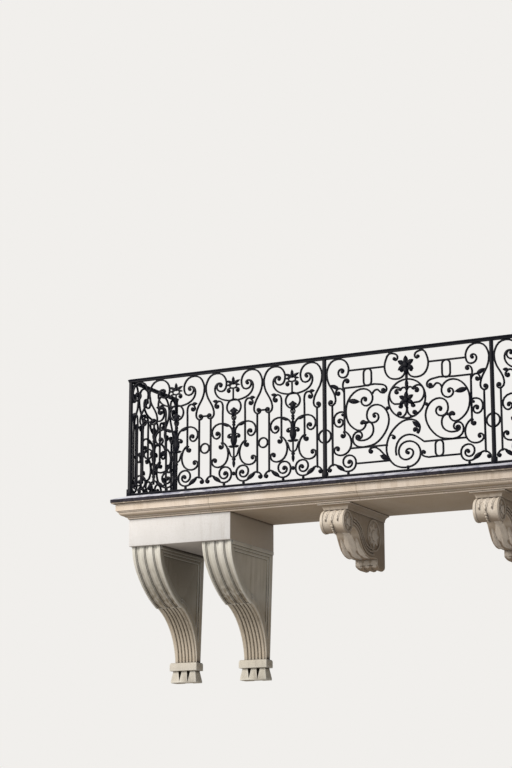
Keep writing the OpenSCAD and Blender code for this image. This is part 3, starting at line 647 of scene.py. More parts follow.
    def material(self) -> Material:
        """Builds the stone's material.

        Returns:
            The material.
        """
        material, tree, shader = new_material(self.name)
        runs = noise(tree, self.run_mm, detail=4.0, shift=5.1)
        colour = self.streaked(tree, self.clouded(tree), runs)
        colour = self.sheet_shadowed(tree, self.shaded(tree, colour), runs)
        colour = self.crease_shaded(tree, colour)
        relief = noise(tree, (self.pit_mm,) * 3, detail=5.0, shift=2.2)
        speck = with_stops(
            add_node(tree, "ValToRGB", {"Fac": relief}), (0.3, self.pit), (0.48, "#ffffff")
        )
        colour = add_node(
            tree, "Mix", {0: self.pit_share, 6: colour, 7: speck}, 2,
            data_type="RGBA", blend_type="MULTIPLY",
        )
        if self.joint_m:
            seam = self.seam(tree)
            colour = lay(tree, colour, self.joint, seam, self.joint_share)
            relief = add_node(tree, "Math", {0: relief, 1: seam}, operation="SUBTRACT")
        finish(
            tree, shader, relief, self.bump, self.bump_mm, Base_Color=colour,
            Roughness=self.roughness, Specular_IOR_Level=self.specular,
        )
        return material


@dataclass
class Finishes:
    """All the finishes of the balcony, each made once."""

    iron: Material = field(init=False)
    sheet: Material = field(init=False)
    slab: Material = field(init=False)
    block: Material = field(init=False)
    console: Material = field(init=False)
    modillion: Material = field(init=False)

    def __post_init__(self) -> None:
        """Makes the materials."""
        self.iron = IronPaint().material()
        self.sheet = SheetMetal().material()
        self.slab = Limestone(
            "sawn_limestone_slab", pale="#ebe0d4", body="#dbccb9", streak="#9c8668",
            underside_shade="#8a7861", sheet_shadow_z=(0.0275, 0.037), joint_m=1.32, joint_shift_m=0.41,
        ).material()
        self.block = Limestone(
            "sawn_limestone_block", pale="#dedede", body="#d5d5d4", streak="#b3aca4",
            underside_shade="#948a80", streak_share=0.3, underside_shade_share=0.75, shade="#a19078", shade_share=0.8,
        ).material()
        self.console = Limestone(
            "carved_limestone_console", pale="#e2e1d9", body="#cfcec3", streak="#5b5449",
            underside_shade="#8f8069", streak_share=0.55, underside_shade_share=0.6, shade="#a5977f", shade_share=0.6,
            crease_shade="#3f372d", crease_shade_mm=13.0, side_crease_shade=1.6, pocket_shade_share=0.8,
            warm_z=(-0.86, -0.74), worn_and_lit_mm=24.0, worn_and_lit_share=0.6, belly_z=(-0.81, -0.56),
            patch_mm=200.0,
        ).material()
        self.modillion = Limestone(
            "carved_limestone_modillion", pale="#e8e0d4", body="#d4c9b8", streak="#8a785f",
            underside_shade="#7f6c57", streak_share=0.3, shade="#84725d", shade_share=0.7,
            # warm and warm_z here: painted shade on the modillion below its drum
            crease_shade="#43362a", crease_shade_mm=24.0, warm="#796b5a", warm_z=(-0.355, -0.325),
            patch_mm=120.0,
        ).material()


def select_nothing() -> None:
    """Deselects every object."""
    for other in bpy.context.view_layer.objects:
        other.select_set(False)


def select_only(obj: Object) -> None:
    """Makes an object the only selected and active one.

    Args:
        obj: The object.
    """
    select_nothing()
    obj.select_set(True)
    bpy.context.view_layer.objects.active = obj


def round_edges(obj: Object, width: float, degrees: float, segments: int = 2) -> None:
    """Rounds the edges of obj that bend by more than an angle.

    Args:
        obj: The piece.
        width: Width of the rounding, in metres.
        degrees: The angle.
        segments: Faces across the rounding.
    """
    edge = obj.modifiers.new("edge", "BEVEL")
    edge.width = width
    edge.segments = segments
    edge.limit_method = "ANGLE"
    edge.angle_limit = math.radians(degrees)
    select_only(obj)
    bpy.ops.object.modifier_apply(modifier=edge.name)


def copy_of(node: str, name: str, merge_mm: float = MERGE_MM) -> Object:
    """Copies a CAD node as a clean, closed mesh of its own.

    Args:
        node: Name of the CAD node.
        name: Name of the copy.
        merge_mm: Points closer than this become one.

    Returns:
        The copy, at the origin.
    """
    mesh = NODES[node].data.copy()
    mesh.materials.clear()
    work = bmesh.new()
    work.from_mesh(mesh)
    bmesh.ops.remove_doubles(work, verts=work.verts, dist=merge_mm * MM)
    bmesh.ops.join_triangles(
        work,
        faces=work.faces,
        angle_face_threshold=math.radians(FLAT_DEG),
        angle_shape_threshold=math.pi,
    )
    work.to_mesh(mesh)
    work.free()
    obj = bpy.data.objects.new(name, mesh)
    bpy.context.scene.collection.objects.link(obj)
    return obj


def dress(
    obj: Object, material: Material, slot: Slot, *nodes: str
) -> Object:
    """Gives a piece its material, its body and the nodes that it stands for.

    Args:
        obj: The piece.
        material: Its finish.
        slot: Material slot of the record; not used.
        nodes: CAD nodes that the piece replaces.

    Returns:
        The piece.
    """
    obj.data.materials.clear()
    obj.data.materials.append(material)
    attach(obj, "root")
    if nodes:
        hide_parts(*nodes)
    LOG.info("%s: %d faces", obj.name, len(obj.data.polygons))
    return obj


def keep_inside(obj: Object, node: str) -> None:
    """Pulls points that rounding pushed out back into the CAD node's box.

    Args:
        obj: The piece.
        node: The CAD node.
    """
    corners = [vertex.co for vertex in NODES[node].data.vertices]
    low = [min(co[i] for co in corners) for i in range(3)]
    high = [max(co[i] for co in corners) for i in range(3)]
    for vertex in obj.data.vertices:
        vertex.co = [min(max(vertex.co[i], low[i]), high[i]) for i in range(3)]


def smooth_by_angle(obj: Object, degrees: float) -> None:
    """Shades obj smooth where its faces meet at less than the angle."""
    select_only(obj)
    bpy.ops.object.shade_smooth_by_angle(angle=math.radians(degrees))


TOP_M = 0.0975  # walking level
FRONT_M = 0.810  # middle plane of the front railing, out from the wall
HALF_M = 2.525  # middle plane of a return, from the balcony's middle
BAR_FACE_MM = 8.0  # face of the bars, from the middle plane
PLATE_FACE_MM = 18.0  # face of the rosettes and flowers
PANEL_MM = 270.08  # half width of a narrow panel
RETURN_MM = 271.25  # half width of the return's panel
RETURN_MIDDLE_MM = 405.25  # its middle, out from the wall
STRIP_MM = 162.0  # width of a corner strip
RETURN_STRIP_MM = 120.0  # width of the return's strips
JOINT_MM = 2349.5  # joint between a corner strip and its panel
LYRE_SHARE = 0.764  # part of a narrow panel's half width that its lyre reaches
CROWN_SHARE = 0.73  # part of that reach at which the top scroll has its eye
BAR_HALF_MM = 7.0

Point = tuple[float, float]
Leaf = tuple[float, float, float, float, float]
Bead = Triple


@dataclass(frozen=True)
class Pattern:
    """Places of the forged details of one panel, in millimetres.

    x runs along the railing from the panel's own middle or joint, z is the
    height over the walking level. A leaf is given by root, tip and width, a
    bead or a boss by its middle and radius.
    """

    leaves: tuple[Leaf, ...] = ()
    beads: tuple[Bead, ...] = ()

    def mirrored(self) -> "Pattern":
        """Gives the pattern turned over at x = 0.

        Returns:
            The mirrored pattern.
        """
        return Pattern(
            tuple((-x0, z0, -x1, z1, w) for x0, z0, x1, z1, w in self.leaves),
            tuple((-x, z, r) for x, z, r in self.beads),
        )

    def moved(self, along: float, up: float = 0.0) -> "Pattern":
        """Gives the pattern at another place.

        Args:
            along: Millimetres that it moves along x.
            up: Millimetres that it moves up.

        Returns:
            The moved pattern.
        """
        return Pattern(
            tuple(
                (x0 + along, z0 + up, x1 + along, z1 + up, w) for x0, z0, x1, z1, w in self.leaves
            ),
            tuple((x + along, z + up, r) for x, z, r in self.beads),
        )

    def joined(self, other: "Pattern") -> "Pattern":
        """Gives both patterns as one."""
        return Pattern(self.leaves + other.leaves, self.beads + other.beads)


def bosses(points: tuple[Point, ...], radius: float = 12.5) -> tuple[Bead, ...]:
    """Gives scroll eyes as beads of one radius."""
    return tuple((x, z, radius) for x, z in points)


def narrow_pattern(half: float) -> Pattern:
    """Lists the details of a narrow panel.

    Args:
        half: Half of its width, in millimetres.

    Returns:
        The details, with x = 0 in its middle.
    """
    reach = half * LYRE_SHARE
    side = half - 68
    right = Pattern(
        (
            (150, 738, half - 74, 742, 28), (40, 516, 116, 546, 26),
            (124, 58, 198, 108, 34), (0, 660, 38, 640, 20), (0, 340, 50, 346, 22),
        ),
        bosses((
            (half - 45, 624), (half - CROWN_SHARE * (reach - BAR_HALF_MM), 868), (152, 697),
            (side - 46, 458), (42, 426), (126, 350), (side - 30, 232), (83, 120), (half - 31, 70),
        )),
    )
    middle = Pattern(
        (
            (0, 672, 0, 596, 46), (0, 430, 0, 518, 40), (0, 462, 0, 330, 56), (0, 232, 0, 166, 24),
        ),
        ((0, 548, 13), (0, 526, 13), (0, 236, 15), (0, 116, 14)),
    )
    return right.joined(right.mirrored()).joined(middle)


def strip_pattern(width: float) -> Pattern:
    """Lists the details of a closing strip.

    Args:
        width: Its width, in millimetres.

    Returns:
        The details, with x = 0 at its panel.
    """
    return Pattern(
        (),
        bosses((
            (width / 3 - 9, 624), (CROWN_SHARE * (width - BAR_HALF_MM), 868),
            (width * 2 / 3 + 28, 694), (width * 0.52, 116), (width * 0.82, 88),
        ), 11.5),
    )


def flower_pattern(x: float, z: float, radius: float, petals: int) -> Pattern:
    """Lists the petals and the heart of a flower.

    Args:
        x: Its middle along the railing.
        z: Its middle's height.
        radius: Its radius.
        petals: Number of petals.

    Returns:
        The details.
    """
    root, tip, width, heart = 0.2 * radius, 0.97 * radius, 0.5 * radius, 0.28 * radius
    leaves = []
    for i in range(petals):
        turn = math.radians(90 + i * 360 / petals)
        c, d = math.cos(turn), math.sin(turn)
        leaves.append((x + root * c, z + root * d, x + tip * c, z + tip * d, width))
    return Pattern(tuple(leaves), ((x, z, heart),))


def rosette_pattern(x: float, z: float, r: float) -> Pattern:
    """Lists the leaves and the bud of a narrow panel's rosette.

    Args:
        x: Its middle along the railing.
        z: Its middle's height.
        r: Its radius.

    Returns:
        The details.
    """
    right = Pattern(
        ((0, r * 0.04, r, r * 0.5, r * 0.4), (r * 0.1, 0, r * 1.04, -r * 0.2, r * 0.3)),
        ((r * 0.6, -r * 0.9, 11.0),),
    )
    middle = Pattern(((0, r * 0.1, 0, r, r * 0.44),), ((0, r * 0.06, 12.0),))
    return right.joined(right.mirrored()).joined(middle).moved(x, z)


WIDE = Pattern(
    (
        (506, 622, 404, 606, 40), (392, 436, 330, 426, 30), (588, 730, 659, 768, 34),
        (546, 58, 620, 108, 34),
    ),
    bosses((
        (656, 624), (555, 868), (198, 684), (357, 616), (390, 430), (281, 476), (418, 322),
        (166, 530), (515, 782), (590, 695), (587, 458), (555, 512), (562, 342), (600, 232),
        (505, 120), (670, 70),
    )),
)
MEDALLION_SIDE = Pattern(
    (), bosses(((40, 824), (101, 926), (82, 648), (57, 530), (60, 472)))
)
MEDALLION = MEDALLION_SIDE.joined(MEDALLION_SIDE.mirrored()).joined(
    Pattern(((0, 690, 0, 748, 28),), ((0, 698, 13), (0, 672, 13)))
)
SNAIL = Pattern(
    ((104, 350, 44, 404, 34), (-160, 118, -236, 152, 44)),
    bosses(((62, 330), (2, 154), (-118, 286), (138, 146), (-310, 192))),
)


def mesh_object(name: str, work: bmesh.types.BMesh) -> Object:
    """Turns a bmesh into an object at the origin.

    Args:
        name: Name of the object.
        work: The bmesh, which is freed.

    Returns:
        The object.
    """
    bmesh.ops.recalc_face_normals(work, faces=work.faces)
    mesh = bpy.data.meshes.new(name)
    work.to_mesh(mesh)
    work.free()
    obj = bpy.data.objects.new(name, mesh)
    bpy.context.scene.collection.objects.link(obj)
    return obj


def made_with_ops(name: str) -> Object:
    """Names the active object and makes its place part of its mesh.

    Args:
        name: Name of the object.

    Returns:
        The object.
    """
    obj = bpy.context.object
    obj.name = name
    select_only(obj)
    bpy.ops.object.transform_apply(location=True, rotation=True, scale=True)
    return obj


def forged_boss(name: str) -> Object:
    """Models a hammered boss of radius 1 along Y: a disc with domed faces.

    Args:
        name: Name of the object.

    Returns:
        The boss.
    """
    select_nothing()
    bpy.ops.mesh.primitive_cylinder_add(
        vertices=12, radius=1.0, depth=2.0, rotation=(math.radians(90), 0, 0)
    )
    obj = made_with_ops(name)
    round_edges(obj, width=0.42, degrees=60, segments=3)
    return obj


@dataclass(frozen=True)
class LeafShape:
    """Shape of a leaf of length 1 along X and half width 1 along Z.

    It rises towards -Y in a midrib, hangs down in hollows beside it and has a
    lobed edge. Its sizes are shares of its own length, width or height.
    """

    rows: int = 18
    columns: int = 6
    lobes: int = 3
    lobe_depth: float = 0.5
    lobe_sweep: float = 0.12
    veins: int = 6
    vein_depth: float = 0.0
    vein_slant: float = 0.22
    widest: float = 0.33
    root_width: float = 0.25
    tip_width: float = 0.05
    taper_power: float = 0.8
    notch_power: int = 6
    sweep_ends: Span = (0.1, 0.9)
    root_height: float = 0.45
    blade_height: float = 0.525
    rib_height: float = 0.35
    rib_width: float = 1 / 3
    sunk: float = 0.25

    def width(self, t: float) -> float:
        """Gives the half width of the leaf.

        Args:
            t: Share of the length, from the root.

        Returns:
            The half width, from 0 to 1.
        """
        full = 1.0
        if t < self.widest:
            swell = math.sin(math.pi / 4 * t / self.widest)
            full = self.root_width + (1 - self.root_width) * swell
        past = min(1.0, max(0.0, (t - self.widest) / (1 - self.widest)))
        return full * max(self.tip_width, math.cos(math.pi / 2 * past)) ** self.taper_power

    def point(self, t: float, across: float) -> Triple:
        """Gives a point of the leaf's face.

        Args:
            t: Share of the length, from the root.
            across: Share of the half width, from -1 to 1.

        Returns:
            The point.
        """
        off = abs(across)
        waves = math.cos(self.lobes * math.pi * t) ** self.notch_power
        notch = self.lobe_depth * waves * off
        rib = max(0.0, 1 - off / self.rib_width)
        blade = math.cos(off * math.pi / 2) ** 0.5 if off < 1 else 0.0
        vein = 0.5 + 0.5 * math.cos(2 * math.pi * self.veins * (t - self.vein_slant * off))
        height = self.root_height + (1 - self.root_height) * t
        rise = blade * self.blade_height * (1 - self.vein_depth * vein) + rib * self.rib_height
        start, end = self.sweep_ends
        sweep = self.lobe_sweep * notch if start < t < end else 0.0
        return t - sweep, -height * rise, across * self.width(t) * (1 - notch)


def forged_leaf(name: str, shape: LeafShape) -> Object:
    """Models a leaf.

    Args:
        name: Name of the object.
        shape: Its shape.

    Returns:
        The leaf, with its flat back sunk into what carries it.
    """
    select_nothing()
    bpy.ops.mesh.primitive_grid_add(
        x_subdivisions=shape.rows, y_subdivisions=shape.columns, size=2.0,
        rotation=(math.radians(90), 0, 0),
    )
    obj = made_with_ops(name)
    for vertex in obj.data.vertices:
        vertex.co = shape.point((vertex.co.x + 1) / 2, vertex.co.z)
    select_only(obj)
    bpy.ops.object.mode_set(mode="EDIT")
    bpy.ops.mesh.select_all(action="SELECT")
    bpy.ops.mesh.extrude_region_move(TRANSFORM_OT_translate={"value": (0, shape.sunk, 0)})
    bpy.ops.mesh.select_all(action="SELECT")
    bpy.ops.mesh.normals_make_consistent(inside=False)
    bpy.ops.object.mode_set(mode="OBJECT")
    return obj


def scatter(
    name: str, parts: list[tuple[Object, list[Matrix]]]
) -> Object:
    """Joins placed copies of master objects into one piece.

    Args:
        name: Name of the piece.
        parts: Each master with the places of its copies.

    Returns:
        The piece, with a mesh of its own.
    """
    work = bmesh.new()
    for master, places in parts:
        for place in places:
            before = len(work.verts)
            work.from_mesh(master.data)
            work.verts.ensure_lookup_table()
            bmesh.ops.transform(work, matrix=place, verts=work.verts[before:])
    return mesh_object(name, work)


def leaf_place(base: Matrix, leaf: Leaf, face_mm: float, rise_mm: float, back: bool) -> Matrix:
    """Gives the matrix that lays the master leaf on one face of a panel.

    Args:
        base: Turns panel coordinates in metres into the frame's.
        leaf: Root, tip and width in millimetres.
        face_mm: Distance of the face from the panel's middle plane.
        rise_mm: Height of the leaf over the face.
        back: Lays it on the face at +Y instead of -Y.

    Returns:
        The placing matrix.
    """
    x0, z0, x1, z1, width = leaf
    out = 1.0 if back else -1.0
    along = Vector((x1 - x0, 0, z1 - z0)) * MM
    rise = Vector((0, -out * rise_mm * MM, 0))
    side = along.normalized().cross(rise.normalized()) * width / 2 * MM
    at = Vector((x0 * MM, out * face_mm * MM, z0 * MM))
    turn = Matrix((along, rise, side)).transposed().to_4x4()
    return base @ Matrix.Translation(at) @ turn


def boss_place(base: Matrix, bead: Bead, middle_mm: float, half_mm: float) -> Matrix:
    """Gives the matrix that sets the master boss into a panel.

    Args:
        base: Turns panel coordinates in metres into the frame's.
        bead: Middle and radius in millimetres.
        middle_mm: Distance of its middle from the panel's middle plane.
        half_mm: Half of its depth.

    Returns:
        The placing matrix.
    """
    x, z, radius = bead
    scale = Matrix.Diagonal((radius * MM, half_mm * MM, radius * MM, 1.0))
    return base @ Matrix.Translation((x * MM, middle_mm * MM, z * MM)) @ scale


@dataclass
class Railing:
    """Posts, rails and scrollwork, with the edges that forging and paint round off."""

    paint: Material
    bar_round_mm: float = 2.7
    bar_merge_mm: float = 1.2
    # A quarter round in two steps: shares of its radius inwards and outwards.
    round_steps: tuple[Span, Span] = ((0.293, 0.707), (0.707, 0.293))
    facing: float = 0.9
    rail_round_mm: float = 2.0
    rail_merge_mm: float = 0.6
    sharp_deg: float = 50.0
    post_x: float = 0.715
    ring_z: float = 0.35
    ring_reach: float = 0.08
    ring_above: float = 0.1
    ring_wider: float = 0.014
    ring_round_mm: float = 1.5

    def soften(self, node: str) -> Object:
        """Rounds the edges of a post or a bottom rail, and smooths a top rail.

        Args:
            node: CAD node that the piece replaces.

        Returns:
            The new piece.
        """
        if "top_rail" in node:
            piece = copy_of(node, node + "_forged")
        else:
            piece = copy_of(node, node + "_forged", self.rail_merge_mm)
            round_edges(piece, self.rail_round_mm * MM, self.sharp_deg)
        smooth_by_angle(piece, SMOOTH_DEG)
        return dress(piece, self.paint, Slot.IRON, node)

    def hammer(self, node: str) -> Object:
        """Rounds the long edges of flat scrollwork on both of its faces.

        Args:
            node: CAD node that the piece replaces.

        Returns:
            The new piece.
        """
        piece = copy_of(node, node + "_forged", self.bar_merge_mm)
        work = bmesh.new()
        work.from_mesh(piece.data)
        axis = 0 if node.startswith("return") else 1
        radius = self.bar_round_mm * MM
        for sign in (-1, 1):
            faces = [f for f in work.faces if f.normal[axis] * sign > self.facing]
            for vert in {v for f in faces for v in f.verts}:
                vert.co[axis] -= sign * radius
            for inward, outward in self.round_steps:
                bmesh.ops.inset_region(
                    work, faces=faces, thickness=inward * radius, depth=outward * radius,
                    use_boundary=True, use_even_offset=False,
                )
        work.to_mesh(piece.data)
        work.free()
        smooth_by_angle(piece, SMOOTH_DEG)
        return dress(piece, self.paint, Slot.IRON, node)

    def build(self) -> None:
        """Builds every iron piece that the model has."""
        for entry in frame["record"]["subparts"]:
            if entry["material_slot"] != Slot.IRON.value:
                continue
            name = entry["node"]
            if "rail" in name or "post" in name:
                self.soften(name)
            else:
                self.hammer(name)
        for side in Side:
            self.post_ring(side)

    def post_ring(self, side: Side) -> None:
        """Copies one joint ring around a middle post, between its two lyres.

        Args:
            side: The post.
        """
        piece = copy_of("joint_rings", f"post_ring_{side.name.lower()}", self.bar_merge_mm)
        work = bmesh.new()
        work.from_mesh(piece.data)
        middle = Vector((JOINT_MM * MM, -FRONT_M, TOP_M + self.ring_z))
        others = [
            v for v in work.verts
            if abs(v.co.x - middle.x) > self.ring_reach or v.co.z > middle.z + self.ring_above
        ]
        bmesh.ops.delete(work, geom=others, context="VERTS")
        for vert in work.verts:
            off = vert.co - middle
            widen = 1 + self.ring_wider / math.hypot(off.x, off.z)
            vert.co.x = side.value * self.post_x + off.x * widen
            vert.co.z = middle.z + off.z * widen
        work.to_mesh(piece.data)
        work.free()
        round_edges(piece, self.ring_round_mm * MM, self.sharp_deg, segments=1)
        smooth_by_angle(piece, SMOOTH_DEG)
        dress(piece, self.paint, Slot.IRON)


@dataclass
class Ornaments:
    """Bosses, leaves and petals that are forged onto the scrollwork."""

    paint: Material
    boss_half_mm: float = 12.0
    leaf_rise_mm: float = 7.0
    leaf_width_mm: float = 34.0  # leaf that has just this rise
    most_rise: float = 1.4
    leaf_sunk_mm: float = 0.5
    rosette_z: float = 870.0
    flowers: tuple[tuple[float, float], ...] = ((864.0, 78.0), (580.0, 70.0))
    petals: int = 6
    boss: Object = field(init=False)
    leaf: Object = field(init=False)

    def __post_init__(self) -> None:
        """Models the two masters."""
        self.boss = forged_boss("boss_master")
        self.leaf = forged_leaf("leaf_master", LeafShape())

    def rise(self, leaf: Leaf) -> float:
        """Gives a leaf's height in millimetres, which grows with its width."""
        return self.leaf_rise_mm * min(self.most_rise, leaf[4] / self.leaf_width_mm)

    def place(self, name: str, pattern: Pattern, base: Matrix, face_mm: float, both: bool) -> None:
        """Sets the details of one panel.

        Args:
            name: Name of the piece.
            pattern: Places of the details.
            base: Turns panel coordinates in metres into the frame's.
            face_mm: Distance of the worked face from the panel's middle plane.
            both: Works both faces instead of the street's alone.
        """
        faces = (False, True) if both else (False,)
        leaves = [
            leaf_place(base, leaf, face_mm - self.leaf_sunk_mm, self.rise(leaf), back)
            for leaf in pattern.leaves
            for back in faces
        ]
        middle = 0.0 if both else -face_mm
        beads = [boss_place(base, b, middle, self.boss_half_mm) for b in pattern.beads]
        piece = scatter(name, [(self.boss, beads), (self.leaf, leaves)])
        smooth_by_angle(piece, SMOOTH_DEG)
        dress(piece, self.paint, Slot.IRON)

    def build(self) -> None:
        """Sets the details of every panel and removes the masters."""
        narrow = narrow_pattern(PANEL_MM)
        for side in Side:
            left_right = side.name.lower()
            for i in (1, 2, 3):
                at = side.value * (JOINT_MM - (2 * i - 1) * PANEL_MM)
                base = self.front(at)
                self.place(f"panel_details_{left_right}_{i}", narrow, base, BAR_FACE_MM, True)
                rose = rosette_pattern(0, self.rosette_z, PANEL_MM * (1 - LYRE_SHARE))
                self.place(f"rosette_details_{left_right}_{i}", rose, base, PLATE_FACE_MM, False)
            wide = WIDE if side is Side.RIGHT else WIDE.mirrored()
            self.place(f"wide_details_{left_right}", wide, self.front(0), BAR_FACE_MM, True)
            strip = strip_pattern(STRIP_MM)
            if side is Side.LEFT:
                strip = strip.mirrored()
            base = self.front(side.value * JOINT_MM)
            self.place(f"strip_details_{left_right}", strip, base, BAR_FACE_MM, True)
            ends = strip_pattern(RETURN_STRIP_MM).moved(RETURN_MM)
            whole = narrow_pattern(RETURN_MM).joined(ends).joined(ends.mirrored())
            base = Matrix.Translation((side.value * HALF_M, 0, TOP_M)) @ Matrix.Rotation(
                math.radians(-90), 4, "Z"
            )
            whole = whole.moved(RETURN_MIDDLE_MM)
            self.place(f"return_details_{left_right}", whole, base, BAR_FACE_MM, True)
        self.place("medallion_details", MEDALLION, self.front(0), BAR_FACE_MM, True)
        self.place("snail_details", SNAIL, self.front(0), BAR_FACE_MM, True)
        upper, lower = (flower_pattern(0, z, r, self.petals) for z, r in self.flowers)
        self.place("flower_details", upper.joined(lower), self.front(0), PLATE_FACE_MM, False)
        for master in (self.boss, self.leaf):
            bpy.data.objects.remove(master, do_unlink=True)

    @staticmethod
    def front(at_mm: float) -> Matrix:
        """Gives the base matrix of a front panel whose middle is at x."""
        return Matrix.Translation((at_mm * MM, -FRONT_M, TOP_M))


@dataclass
class Stonework:
    """Slab, blocks, consoles and modillions, with edges worn by the weather."""

    finishes: Finishes
    arris_mm: float = 4.0
    sharp_deg: float = 40.0

    def finish_of(self, node: str) -> Material:
        """Chooses the stone of one node.

        Args:
            node: The CAD node.

        Returns:
            Its finish.
        """
        if node.startswith("console"):
            return self.finishes.console
        if node.startswith("modillion"):
            return self.finishes.modillion
        if node.startswith("bearing"):
            return self.finishes.block
        return self.finishes.slab

    def wear(self, node: str) -> Object:
        """Wears the edges of one node.

        Args:
            node: CAD node that the piece replaces.

        Returns:
            The new piece.
        """
        piece = copy_of(node, node + "_worn")
        round_edges(piece, self.arris_mm * MM, self.sharp_deg)
        keep_inside(piece, node)
        smooth_by_angle(piece, self.sharp_deg)
        slot = Slot.LIMESTONE if node.startswith(("stone", "bearing")) else Slot.CARVED
        return dress(piece, self.finish_of(node), slot, node)

    def build(self) -> None:
        """Builds every stone piece."""
        for name in NODES:
            if name.startswith(("stone", "bearing", "console", "modillion")):
                self.wear(name)


def bend(
    master: Object, path: list[Vector], x: float, width: float, rise: float
) -> Object:
    """Lays a copy of the master leaf along a curved surface.

    Args:
        master: Leaf of length 1 along X and half width 1 along Z.
        path: Points in the plane of Y and Z, from root to tip, with the
            stone on the side that the leaf doesn't rise to.
        x: Place of the leaf's midrib.
        width: Width of the leaf, in metres.
        rise: Height of the leaf over the stone, in metres.

    Returns:
        The bent leaf.
    """
    lengths = [0.0]
    for a, b in zip(path, path[1:]):
        lengths.append(lengths[-1] + (b - a).length)
    obj = bpy.data.objects.new("bent_leaf", master.data.copy())
    for vertex in obj.data.vertices:
        along = max(0.0, min(1.0, vertex.co.x)) * lengths[-1]
        i = max(k for k in range(len(path) - 1) if lengths[k] <= along)
        share = (along - lengths[i]) / (lengths[i + 1] - lengths[i])
        place = path[i].lerp(path[i + 1], share)
        first = (path[i + 1] - path[max(i - 1, 0)]).normalized()
        second = (path[min(i + 2, len(path) - 1)] - path[i]).normalized()
        heading = first.lerp(second, share).normalized()
        outward = Vector((0, heading.z, -heading.y))
        place = place - outward * vertex.co.y * rise
        vertex.co = (x + vertex.co.z * width / 2, place.y, place.z)
    return obj


